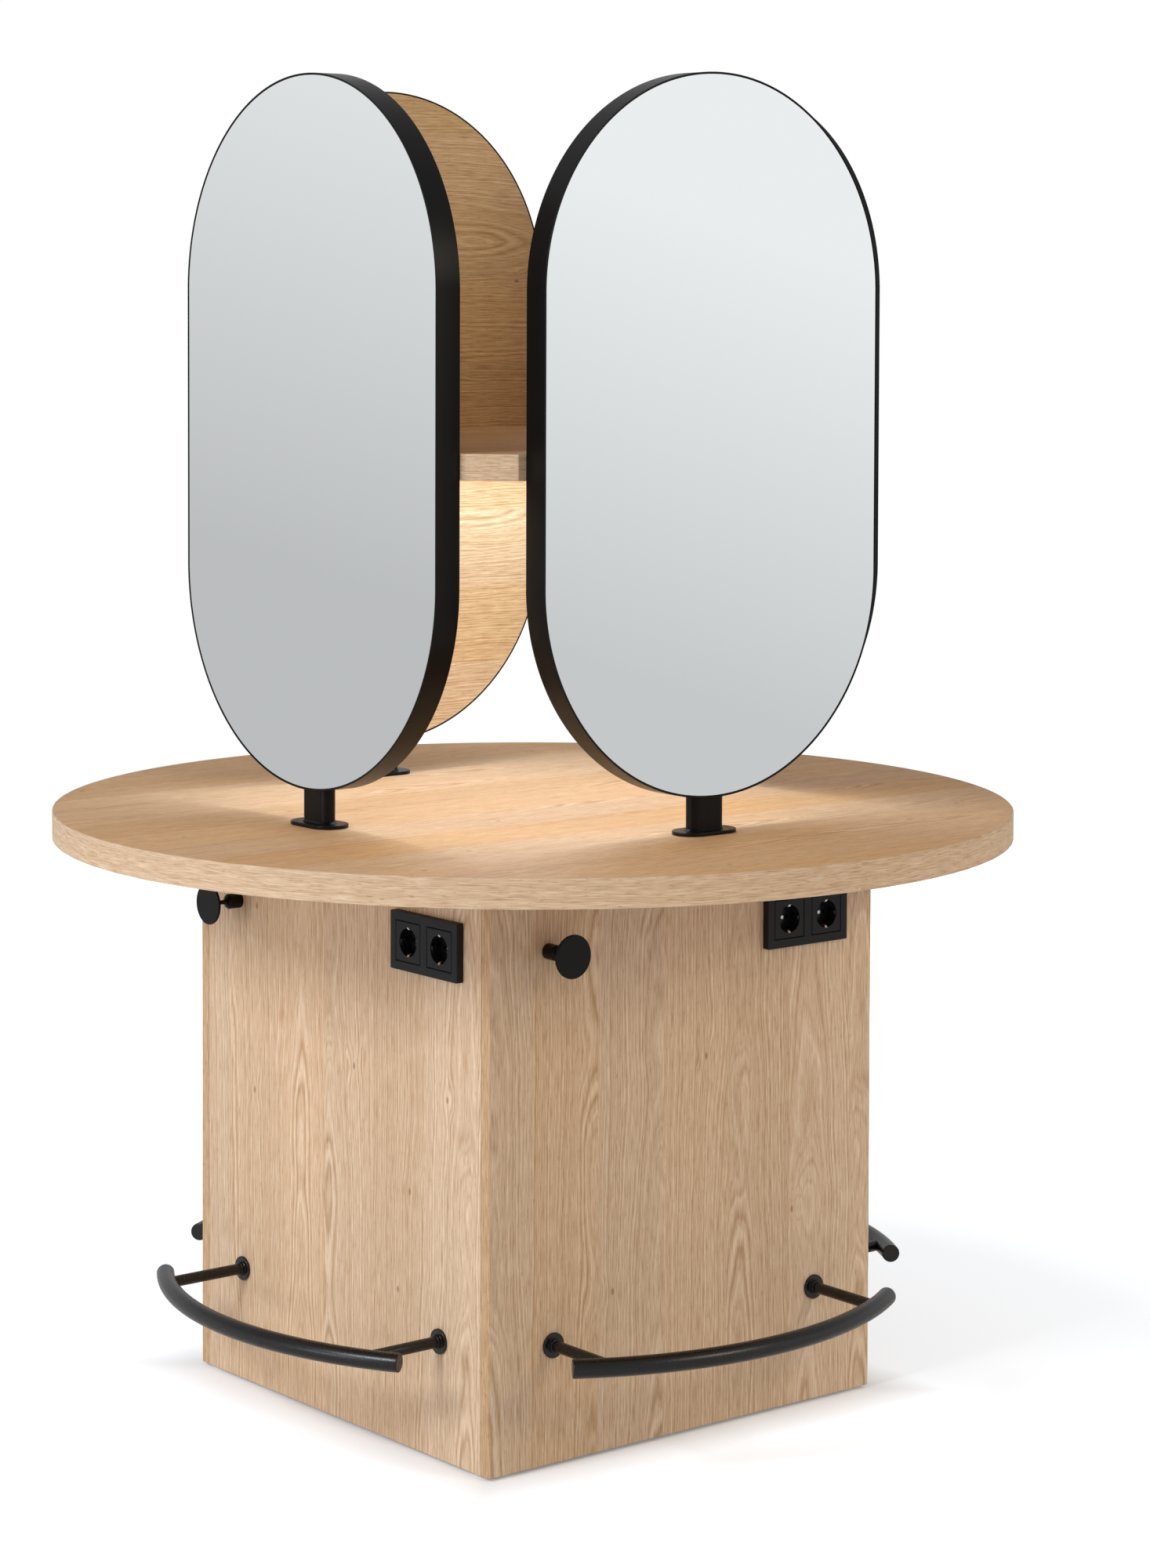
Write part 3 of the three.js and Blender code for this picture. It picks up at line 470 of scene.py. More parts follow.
def black_thermoplastic(name, roughness):
    """Moulded black thermoplastic: even deep grey with a very fine spark-eroded grain."""
    # The real grain is 0.1 mm; it is drawn at 0.8 mm so that it shows
    grain_size = 0.8 * MM
    material, tree, shader, place = new_material(name)
    grain = add(tree, "TexNoise", {"Vector": place, "Scale": 1 / grain_size, "Detail": 1.0})
    shade = mottled(tree, colours().black_plastic, grain, 0.9, 1.1)
    rough = add(tree, "Math", (grain, 0.1, roughness), operation="MULTIPLY_ADD")
    bump = add(tree, "Bump", {"Height": grain, "Strength": 0.08, "Distance": 0.1 * MM})
    feed(tree, shader, {"Base Color": shade, "Roughness": rough, "Normal": bump, "Specular IOR Level": 0.25})
    return material


def plain_moulding(name, colour, roughness):
    """Plain moulded or extruded part: even colour with a faint cloudiness."""
    cloud_size = 16.7 * MM
    material, tree, shader, place = new_material(name)
    cloud = add(tree, "TexNoise", {"Vector": place, "Scale": 1 / cloud_size, "Detail": 3.0})
    shade = mottled(tree, linear(colour), cloud, 0.95, 1.05)
    rough = add(tree, "Math", (cloud, 0.1, roughness), operation="MULTIPLY_ADD")
    feed(tree, shader, {"Base Color": shade, "Roughness": rough})
    return material


def bright_metal(name, colour, roughness):
    """Plated or anodised metal: bright, with fine level lines in its sheen."""
    streak_length, streak_width = 25 * MM, 1.1 * MM
    material, tree, shader, place = new_material(name)
    scale = (1 / streak_length, 1 / streak_length, 1 / streak_width)
    drawn = add(tree, "Mapping", {"Vector": place, "Scale": scale})
    streak = add(tree, "TexNoise", {"Vector": drawn, "Scale": 1.0, "Detail": 2.0})
    rough = add(tree, "Math", (streak, 0.15, roughness), operation="MULTIPLY_ADD")
    feed(tree, shader, {"Base Color": rgba(linear(colour)), "Metallic": 1.0, "Roughness": rough})
    return material


def lit_diffuser(name):
    """Opal acrylic cover over the LED strip: glows evenly, a little brighter at each diode."""
    diode_spacing = 8.3 * MM
    opal = rgba(linear("#FFF4E4"))
    material, tree, shader, place = new_material(name)
    dots = add(tree, "TexVoronoi", {"Vector": place, "Scale": 1 / diode_spacing})
    glow = add(tree, "Math", (dots.outputs["Distance"], -1.0, 4.0), operation="MULTIPLY_ADD")
    feed(tree, shader, {"Base Color": opal, "Roughness": 0.5})
    feed(tree, shader, {"Emission Color": opal, "Emission Strength": glow})
    return material


# Finishes of this station
def cabinet_oak(side):
    """Laminate with the grain standing up, for a cabinet side."""
    if side in WIDE_SIDES:
        return shared(oak_laminate, "oak_laminate_upright_wide", across=(1, 0, 0), along=(0, 0, 1))
    return shared(oak_laminate, "oak_laminate_upright_deep", across=(0, 1, 0), along=(0, 0, 1),
                  shift=SHEET_SHIFT)


def mirror_oak(side):
    """Laminate with the grain lying level, for the back of a mirror."""
    # The warmer tint paints the warm LED light on the mirror backs
    if side in WIDE_SIDES:
        return shared(oak_laminate, "oak_laminate_level_wide", across=(0, 0, 1), along=(1, 0, 0),
                      tint=MIRROR_WARM_LIGHT_TINT)
    return shared(oak_laminate, "oak_laminate_level_deep", across=(0, 0, 1), along=(0, 1, 0),
                  tint=MIRROR_WARM_LIGHT_TINT, shift=SHEET_SHIFT)


def edge_oak():
    """Edge banding on the cabinet's upright edges: plainer and a little darker."""
    return shared(oak_laminate, "oak_edge_band_upright", across=(0.8, 0.6, 0), along=(0, 0, 1),
                  plank=STRIP_WIDTH, tint=EDGE_TINT, banding=True)


def table_oak():
    """Laminate of the table and the shelf, with the grain running along +X."""
    # The warm tint paints warm light on the table and shelf tops
    return shared(oak_laminate, "oak_laminate_flat", across=(0, 1, 0), along=(1, 0, 0), tint=TABLE_WARM_LIGHT_TINT)


def band_oak():
    """Edge banding around the table: grain along the rim."""
    return shared(oak_laminate, "oak_edge_band_round", plank=STRIP_WIDTH, tint=BAND_TINT, banding=True)


def coat():
    """Finish of the mirror bands, stands and hooks."""
    return shared(satin_coat, "satin_black_powder_coat")


def socket_plastic():
    """Finish of the socket frames and the grommet."""
    return shared(black_thermoplastic, "matte_black_thermoplastic", roughness=0.5)


def dress(node, material):
    """Gives a solid that stays in sight or inside its material."""
    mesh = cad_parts[node].data
    mesh.materials.clear()
    mesh.materials.append(material)


# Operators
class SALON_OT_cabinet(bpy.types.Operator):
    """Cabinet panels, with socket holes, eased edges and banded upright edges"""

    bl_idname = "salon.cabinet"
    bl_label = "Cabinet"

    def execute(self, context):
        low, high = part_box("base_panel_front")
        middle = (low.z + high.z) / 2
        hole_margin, band_reach = 2.2 * MM, 2 * MM
        hole = size_of("socket_insert_front_1").x / 2 - hole_margin
        for side, turn in SIDES.items():
            panel = "base_panel_" + side
            width = max(size_of(panel).xy)
            plate = bmesh.new()
            rectangle(plate, width, high.z - low.z)
            bmesh.ops.delete(plate, geom=plate.faces[:], context="FACES_ONLY")
            for number in "12":
                place = middle_of("socket_insert_front_" + number)
                spot = Matrix.Translation((place.x, place.z - middle, 0))
                bmesh.ops.create_circle(plate, radius=hole, segments=ROUND_STEPS, matrix=spot)
            bmesh.ops.triangle_fill(plate, edges=plate.edges[:], use_beauty=True)
            thicken(plate, high.y - low.y)
            bmesh.ops.transform(plate, matrix=upright((0, high.y, middle)), verts=plate.verts)
            rim = [e for e in sharp_edges(plate) if all(abs(v.co.x) > width / 2 - NEAR for v in e.verts)]
            round_edges(plate, rim, sizes().board_edge, 2)
            for polygon in plate.faces:
                at_end = abs(polygon.calc_center_median().x) > width / 2 - band_reach
                polygon.material_index = int(at_end and abs(polygon.normal.x) > 0.7)
            finish_piece("cabinet_panel_" + side, plate, [cabinet_oak(side), edge_oak()], panel,
                         turn)
        return {"FINISHED"}


class SALON_OT_table(bpy.types.Operator):
    """Round table top and its applied edge band"""

    bl_idname = "salon.table"
    bl_label = "Table"

    def execute(self, context):
        low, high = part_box("table_top")
        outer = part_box("table_edge_band")[1].x
        seam, seam_edge = 0.15 * MM, 0.3 * MM
        disc = bmesh.new()
        bmesh.ops.create_circle(disc, cap_ends=True, radius=high.x, segments=TABLE_STEPS)
        ring = bmesh.new()
        bmesh.ops.create_circle(ring, cap_ends=True, radius=outer, segments=TABLE_STEPS)
        hollow(ring, outer - high.x - seam)
        for form in (disc, ring):
            thicken(form, high.z - low.z)
            bmesh.ops.translate(form, verts=form.verts, vec=(0, 0, low.z))
        round_edges(disc, sharp_edges(disc), seam_edge, 1)
        rim = [e for e in sharp_edges(ring) if all(v.co.xy.length > outer - NEAR for v in e.verts)]
        round_edges(ring, rim, sizes().table_edge)
        finish_piece("oak_table_top", disc, [table_oak()], "table_top")
        finish_piece("oak_table_edge", ring, [band_oak()], "table_edge_band")
        return {"FINISHED"}


class SALON_OT_mirrors(bpy.types.Operator):
    """Steel bands, mirror glass and oak boards of the four mirrors"""

    bl_idname = "salon.mirrors"
    bl_label = "Mirrors"

    def plate(self, node, trim=0.0, wall=0.0):
        """Upright pill as deep as a solid, narrower by a trim all round, or only its rim."""
        low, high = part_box(node)
        outline = size_of("mirror_frame_front")
        form = bmesh.new()
        pill(form, outline.x - 2 * trim, outline.z - 2 * trim, MIRROR_STEPS)
        if wall:
            hollow(form, wall)
        thicken(form, high.y - low.y)
        place = upright((0, high.y, middle_of("mirror_frame_front").z))
        bmesh.ops.transform(form, matrix=place, verts=form.verts)
        return form

    def execute(self, context):
        wall = sizes().band_wall
        pane = shared(silvered_glass, "silvered_mirror_glass")
        edge = shared(ground_glass, "ground_glass_edge")
        for side, turn in SIDES.items():
            band = self.plate("mirror_frame_front", wall=wall)
            round_edges(band, sharp_edges(band), sizes().band_edge)
            finish_piece("mirror_band_" + side, band, [coat()], "mirror_frame_" + side,
                         turn)

            board = self.plate("mirror_board_front", trim=wall + GAP)
            round_edges(board, sharp_edges(board), sizes().board_edge, 2)
            finish_piece("mirror_back_" + side, board, [mirror_oak(side)], "mirror_board_" + side,
                         turn)

            glass = self.plate("mirror_glass_front", trim=wall + GAP)
            round_edges(glass, sharp_edges(glass), sizes().glass_edge, 1)
            for polygon in glass.faces:
                polygon.material_index = 0 if polygon.normal.y < -0.99 else 1
            finish_piece("mirror_pane_" + side, glass, [pane, edge], "mirror_glass_" + side,
                         turn)
        return {"FINISHED"}


class SALON_OT_stands(bpy.types.Operator):
    """Flat-oval stands with their flanges and welds"""

    bl_idname = "salon.stands"
    bl_label = "Mirror stands"

    def execute(self, context):
        low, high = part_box("mirror_stand_front")
        middle = (low + high) / 2
        width, depth, flange, weld = sizes().tube_width, sizes().tube_depth, sizes().flange, sizes().weld
        sunk = 3.5 * MM
        tube_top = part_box("mirror_frame_front")[0].z + sunk
        slim = Matrix.Diagonal((width / (width + 2 * weld), depth / (depth + 2 * weld), 1, 1))
        for side, turn in SIDES.items():
            stand = bmesh.new()
            pill(stand, high.x - low.x, high.y - low.y, ROUND_STEPS)
            thicken(stand, flange)
            rim = [e for e in sharp_edges(stand) if all(v.co.z > flange / 2 for v in e.verts)]
            round_edges(stand, rim, sizes().flange_edge)
            seat = pill(stand, width + 2 * weld, depth + 2 * weld, ROUND_STEPS)
            bmesh.ops.translate(stand, verts=seat.verts, vec=(0, 0, flange))
            foot = bmesh.ops.extrude_discrete_faces(stand, faces=[seat])["faces"][0]
            bmesh.ops.transform(stand, matrix=slim, verts=foot.verts)
            bmesh.ops.translate(stand, verts=foot.verts, vec=(0, 0, weld))
            head = bmesh.ops.extrude_discrete_faces(stand, faces=[foot])["faces"][0]
            bmesh.ops.translate(stand, verts=head.verts, vec=(0, 0, tube_top - low.z - flange - weld))
            bmesh.ops.translate(stand, verts=stand.verts, vec=(middle.x, middle.y, low.z))
            finish_piece("mirror_post_" + side, stand, [coat()], "mirror_stand_" + side,
                         turn)
        return {"FINISHED"}


class SALON_OT_shelf(bpy.types.Operator):
    """Shelf board with cut corners and the groove of its light"""

    bl_idname = "salon.shelf"
    bl_label = "Shelf"

    def execute(self, context):
        low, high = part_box("shelf_board")
        corner_angle = math.radians(30)
        groove_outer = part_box("led_profile")[1].x + GAP
        groove_inner = groove_outer - sizes().groove_width
        groove_depth = size_of("led_profile").z + GAP
        board = bmesh.new()
        rectangle(board, 2 * high.x, 2 * high.y)
        bmesh.ops.bevel(board, geom=board.verts[:], offset=sizes().corner_cut, offset_type="ABSOLUTE",
                        affect="VERTICES", segments=1, profile=0.5, material=-1)
        thicken(board, high.z - low.z)
        round_edges(board, sharp_edges(board, corner_angle), sizes().board_edge, 2)
        bmesh.ops.translate(board, verts=board.verts, vec=(0, 0, low.z))

        # The underside is cut along both sides of the groove, and what lies between is pressed in
        ways = [sign * Vector(way) for sign in (-1, 1) for way in ((1, 0, 0), (0, 1, 0))]
        for reach in (groove_outer, groove_inner):
            for way in ways:
                flat = [f for f in board.faces if f.normal.z < -0.99]
                bottom = dict.fromkeys(item for f in flat for item in (*f.verts, *f.edges, f))
                bmesh.ops.bisect_plane(board, geom=list(bottom), plane_co=way * reach, plane_no=way)
        groove = []
        for polygon in board.faces:
            place = polygon.calc_center_median()
            reach = max(abs(place.x), abs(place.y))
            if polygon.normal.z < -0.99 and groove_inner < reach < groove_outer:
                groove.append(polygon)
        drawn = bmesh.ops.extrude_face_region(board, geom=groove)
        bmesh.ops.translate(board, verts=made(drawn, bmesh.types.BMVert), vec=(0, 0, groove_depth))
        bmesh.ops.delete(board, geom=groove, context="FACES")
        for polygon in board.faces:
            polygon.material_index = 1 if abs(polygon.normal.z) < 0.5 else 0
        finish_piece("oak_shelf", board, [table_oak(), band_oak()], "shelf_board")
        dress("led_profile", shared(bright_metal, "anodised_aluminium", colour="#C6C8CA", roughness=0.35))
        dress("led_diffuser", shared(lit_diffuser, "lit_opal_acrylic"))
        return {"FINISHED"}


class SALON_OT_sockets(bpy.types.Operator):
    """Double power sockets: frames and inserts with plug wells, ribs, earth clips and screws"""

    bl_idname = "salon.sockets"
    bl_label = "Power sockets"

    # Materials of an insert, in the order of its slots
    OUTSIDE, WELL, METAL = range(3)

    def frame_plate(self, side, turn):
        """Frame with a square hole for each insert."""
        low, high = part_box("socket_frame_front")
        size = high - low
        middle = (low + high) / 2
        shadow_gap, corner = 0.8 * MM, 2 * MM
        hole = size_of("socket_insert_front_1").x / 2 + shadow_gap
        spots = [middle_of("socket_insert_front_" + number).x - middle.x for number in "12"]
        plate = bmesh.new()
        rectangle(plate, size.x, size.z)
        cuts = [((spot + reach, 0, 0), (1, 0, 0)) for spot in spots for reach in (-hole, hole)]
        cuts += [((0, reach, 0), (0, 1, 0)) for reach in (-hole, hole)]
        for place, way in cuts:
            whole = plate.verts[:] + plate.edges[:] + plate.faces[:]
            bmesh.ops.bisect_plane(plate, geom=whole, plane_co=place, plane_no=way)
        holes = []
        for polygon in plate.faces:
            place = polygon.calc_center_median()
            if abs(place.y) < hole and min(abs(place.x - spot) for spot in spots) < hole:
                holes.append(polygon)
        bmesh.ops.delete(plate, geom=holes, context="FACES")
        thicken(plate, size.y)
        reach_x, reach_y = size.x / 2 - NEAR, size.z / 2 - NEAR
        outer = [v for v in plate.verts if abs(v.co.x) > reach_x and abs(v.co.y) > reach_y]
        round_edges(plate, [e for e in plate.edges if all(v in outer for v in e.verts)], corner, 4)
        face_edges = [e for e in sharp_edges(plate) if all(v.co.z > size.y / 2 for v in e.verts)]
        round_edges(plate, face_edges, sizes().socket_edge, 2)
        bmesh.ops.transform(plate, matrix=upright((middle.x, high.y, middle.z)), verts=plate.verts)
        finish_piece("socket_plate_" + side, plate, [socket_plastic()], "socket_frame_" + side,
                     turn)

    def draw_on(self, plate, verts, material):
        """Draws the open edges among some points on, and gives the new points."""
        drawn = bmesh.ops.extrude_edge_only(plate, edges=open_edges(plate, verts))
        for polygon in made(drawn, bmesh.types.BMFace):
            polygon.material_index = material
        return made(drawn, bmesh.types.BMVert)

    def shell(self, plate, face, half):
        """Front, sides and well of an insert, with its pin holes."""
        edge, radius, depth = sizes().socket_edge, sizes().well_radius, sizes().well_depth
        chamfer, side_height, pin_depth = 0.6 * MM, 8 * MM, 10 * MM
        mouth = bmesh.ops.create_circle(plate, radius=radius + chamfer, segments=ROUND_STEPS)["verts"]
        bmesh.ops.translate(plate, verts=mouth, vec=(0, 0, face))
        square = self.draw_on(plate, mouth, self.OUTSIDE)
        for vert in square:
            vert.co.xy *= (half - edge) / max(abs(vert.co.x), abs(vert.co.y))
        for grow, drop in ((edge, edge), (0.0, side_height)):
            square = self.draw_on(plate, square, self.OUTSIDE)
            for vert in square:
                reach = max(abs(vert.co.x), abs(vert.co.y))
                vert.co.xy *= (reach + grow) / reach
                vert.co.z -= drop
        ring = mouth
        for slim, drop in ((chamfer, chamfer), (0.0, depth - chamfer)):
            ring = self.draw_on(plate, ring, self.WELL)
            for vert in ring:
                vert.co.xy *= 1 - slim / vert.co.xy.length
                vert.co.z -= drop
        pins = []
        for sign in (-1, 1):
            spot = Matrix.Translation((sign * sizes().pin_spacing / 2, 0, face - depth))
            pins += bmesh.ops.create_circle(plate, radius=sizes().pin_radius, segments=SMALL_STEPS,
                                            matrix=spot)["verts"]
        floor = bmesh.ops.triangle_fill(plate, edges=open_edges(plate, ring + pins), use_beauty=True)
        tips = self.draw_on(plate, pins, self.WELL)
        bmesh.ops.translate(plate, verts=tips, vec=(0, 0, -pin_depth))
        ends = bmesh.ops.holes_fill(plate, edges=open_edges(plate, tips))["faces"]
        for polygon in made(floor, bmesh.types.BMFace) + ends:
            polygon.material_index = self.WELL

    def rib(self, plate, sign, face):
        """Guide rib at the left or right of a well."""
        radius, depth = sizes().well_radius, sizes().well_depth
        width, height, inside, drop, edge = 5.4 * MM, 3.8 * MM, 0.4 * MM, 1.4 * MM, 0.5 * MM
        place = Matrix.Translation((sign * (radius + inside - height / 2), 0, face - (depth + drop) / 2))
        size = Matrix.Diagonal((height, width, depth - drop, 1))
        verts = bmesh.ops.create_cube(plate, size=1, matrix=place @ size)["verts"]
        for polygon in {f for v in verts for f in v.link_faces}:
            polygon.material_index = self.WELL
        round_edges(plate, list(dict.fromkeys(e for v in verts for e in v.link_edges)), edge, 2)

    def clip(self, plate, sign, face):
        """Sprung earth clip at the top or bottom of a well: a strip that bulges towards the plug."""
        width, thickness = 4.0 * MM, 0.9 * MM
        # Bends of the strip, in millimetres inward from the well's wall and down from the face
        bends = ((1.2, 15), (2.6, 9), (3.4, 5), (2.2, 1.6), (-0.8, -0.3))
        ends = (-sign * width / 2, sign * width / 2)
        strip = []
        for inward, down in bends:
            reach = sign * (sizes().well_radius - inward * MM)
            strip.append([plate.verts.new((x, reach, face - down * MM)) for x in ends])
        faces = [plate.faces.new((*a, *reversed(b))) for a, b in zip(strip, strip[1:])]
        for polygon in faces:
            polygon.material_index = self.METAL
        # New faces have no normals yet, and without them the strip would get no thickness
        plate.normal_update()
        bmesh.ops.solidify(plate, geom=faces, thickness=thickness)

    def screw(self, plate, well_floor):
        """Round screw head with its recess in the middle of a well's floor."""
        head, edge, top, sunk = 3.1 * MM, 0.8 * MM, 1.8 * MM, 1.0 * MM
        recess, recess_slope, recess_floor = 1.2 * MM, 0.2 * MM, 0.9 * MM
        profile = [(0, -sunk), (head, -sunk), (head, top - edge),
                   *arc(head - edge, top - edge, edge, 0, 90, 3), (recess, top),
                   (recess - recess_slope, recess_floor), (0, recess_floor)]
        before = set(plate.faces)
        turned(plate, profile, Matrix.Translation((0, 0, well_floor)), SMALL_STEPS)
        for polygon in plate.faces:
            if polygon not in before:
                polygon.material_index = self.METAL

    def insert(self, side, number, turn):
        """Square insert with its plug well, drawn face up and then stood up."""
        low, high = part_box("socket_frame_front")
        face = high.y - low.y
        node = "socket_insert_front_" + number
        plate = bmesh.new()
        self.shell(plate, face, size_of(node).x / 2)
        for sign in (-1, 1):
            self.rib(plate, sign, face)
        for sign in (-1, 1):
            self.clip(plate, sign, face)
        self.screw(plate, face - sizes().well_depth)
        place = upright((middle_of(node).x, high.y, middle_of("socket_frame_front").z))
        bmesh.ops.transform(plate, matrix=place, verts=plate.verts)
        gloss = shared(black_thermoplastic, "gloss_black_thermoplastic", roughness=0.16)
        nickel = shared(bright_metal, "nickel_plated_brass", colour="#E4E3E0", roughness=0.3)
        finish_piece("socket_well_" + side + "_" + number, plate, [socket_plastic(), gloss, nickel],
                     "socket_insert_" + side + "_" + number, turn)

    def execute(self, context):
        for side, turn in SIDES.items():
            self.frame_plate(side, turn)
            for number in "12":
                self.insert(side, number, turn)
        return {"FINISHED"}


class SALON_OT_hooks(bpy.types.Operator):
    """Turned disc hooks"""

    bl_idname = "salon.hooks"
    bl_label = "Hooks"

    def execute(self, context):
        low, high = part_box("hook_front")
        middle = (low + high) / 2
        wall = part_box("base_panel_front")[0].y
        reach = wall - low.y
        disc, disc_edge, disc_thickness = (high.x - low.x) / 2, 1.2 * MM, 4 * MM
        back = reach - disc_thickness
        base, base_length, base_edge, seat = 11 * MM, 21 * MM, 1.5 * MM, 0.6 * MM
        neck, cove, cove_height, fillet = 3.2 * MM, 6.15 * MM, 8.2 * MM, 2.0 * MM
        profile = [(0, GAP), (base - seat, GAP), (base, GAP + seat),
                   *arc(base - base_edge, base_length - base_edge, base_edge, 0, 90, 4),
                   *arc(neck + cove, base_length + cove_height, cove, -100, -180, 7),
                   (neck, back - fillet), *arc(neck + fillet, back - fillet, fillet, 180, 90, 4),
                   *arc(disc - disc_edge, back + disc_edge, disc_edge, -90, 0, 4),
                   *arc(disc - disc_edge, reach - disc_edge, disc_edge, 0, 90, 4), (0, reach)]
        for side, turn in SIDES.items():
            hook = bmesh.new()
            turned(hook, profile, upright((middle.x, wall, middle.z)), DISC_STEPS)
            finish_piece("disc_hook_" + side, hook, [coat()], "hook_" + side, turn)
        return {"FINISHED"}


class SALON_OT_foot_rails(bpy.types.Operator):
    """Bowed foot rails on two posts with collars and rosettes"""

    bl_idname = "salon.foot_rails"
    bl_label = "Foot rails"

    def execute(self, context):
        low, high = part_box("foot_rail_front")
        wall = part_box("base_panel_front")[0].y
        bar, bar_edge, cap_angle = sizes().rail_radius, 1.5 * MM, math.radians(60)

        # Bar and rosettes share one level, the middle of the solid
        height = (low.z + high.z) / 2
        bow = -low.y - bar
        half_angle = math.asin(high.x / (bow + bar))
        post_inset, post = 110 * MM, 8 * MM
        post_x = -wall - post_inset
        length = math.sqrt(bow ** 2 - post_x ** 2) + wall
        rosette, rosette_edge, rosette_height, seat = 17.5 * MM, 1.2 * MM, 4.0 * MM, 0.5 * MM
        collar, collar_edge, collar_foot, collar_height = 10 * MM, 1.0 * MM, 0.6 * MM, 9.0 * MM
        profile = [(0, GAP), (rosette - seat, GAP), (rosette, GAP + seat),
                   *arc(rosette - rosette_edge, rosette_height - rosette_edge, rosette_edge, 0, 90, 4),
                   (collar + collar_foot, rosette_height), (collar, rosette_height + collar_foot),
                   *arc(collar - collar_edge, collar_height - collar_edge, collar_edge, 0, 90, 3),
                   (post, collar_height), (post, length), (0, length)]
        end = Matrix.Translation((0, -bow, height)) @ Matrix.Rotation(math.pi / 2, 4, "Y")
        start = Matrix.Rotation(-half_angle, 4, "Z") @ end
        texture = shared(textured_coat, "fine_texture_black_powder_coat")
        for side, turn in SIDES.items():
            rail = bmesh.new()
            bmesh.ops.create_circle(rail, cap_ends=True, radius=bar, segments=ROUND_STEPS, matrix=start)
            bmesh.ops.spin(rail, geom=rail.verts[:] + rail.edges[:] + rail.faces[:], cent=(0, 0, 0),
                           axis=(0, 0, 1), angle=2 * half_angle, steps=RAIL_STEPS, use_duplicate=False)
            bmesh.ops.recalc_face_normals(rail, faces=rail.faces)
            round_edges(rail, sharp_edges(rail, cap_angle), bar_edge)
            for x in (-post_x, post_x):
                turned(rail, profile, upright((x, wall, height)))
            finish_piece("bowed_rail_" + side, rail, [texture], "foot_rail_" + side,
                         turn)
        return {"FINISHED"}


class SALON_OT_feet(bpy.types.Operator):
    """Round pads of the levelling feet, and their stems"""

    bl_idname = "salon.feet"
    bl_label = "Feet"

    def execute(self, context):
        polyamide = shared(plain_moulding, "grey_polyamide", colour="#C9C8C4", roughness=0.5)
        zinc = shared(bright_metal, "zinc_plated_steel", colour="#B4B4B0", roughness=0.3)
        sole, sole_inset, edge = 0.8 * MM, 1.0 * MM, 1.2 * MM
        bore, bore_floor, bore_edge, dish = 5.2 * MM, 1.5 * MM, 0.4 * MM, 3 * MM
        for corner in CORNERS:
            low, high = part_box("foot_pad_" + corner)
            middle = (low + high) / 2
            radius = (high.x - low.x) / 2
            top = high.z - low.z
            profile = [(0, 0), (radius - sole_inset, 0), *arc(radius - sole, sole, sole, -60, 0, 3),
                       *arc(radius - edge, top - edge, edge, 0, 90, 4), (bore + dish, top),
                       (bore, top - bore_edge), (bore, bore_floor), (0, bore_floor)]
            pad = bmesh.new()
            turned(pad, profile, Matrix.Translation((middle.x, middle.y, low.z)))
            finish_piece("glide_pad_" + corner, pad, [polyamide], "foot_pad_" + corner,
                         body="foot_" + corner)
            dress("foot_stem_" + corner, zinc)
        return {"FINISHED"}


class SALON_OT_inner_parts(bpy.types.Operator):
    """Finishes of the boards, boxes and cables inside the cabinet"""

    bl_idname = "salon.inner_parts"
    bl_label = "Inner parts"

    def execute(self, context):
        board = shared(plain_moulding, "white_melamine_board", colour="#E4E1DA", roughness=0.45)
        casing = shared(plain_moulding, "white_polycarbonate", colour="#E8E8E4", roughness=0.4)
        sheath = shared(plain_moulding, "black_cable_sheath", colour="#2E2E2E", roughness=0.6)
        finishes = {"base_bottom_board": board, "base_top_board": board, "led_driver": casing,
                    "junction_box": casing, "led_cable": sheath, "wiring_harness": sheath,
                    "cable_grommet": socket_plastic()}
        for node, material in finishes.items():
            dress(node, material)
        return {"FINISHED"}


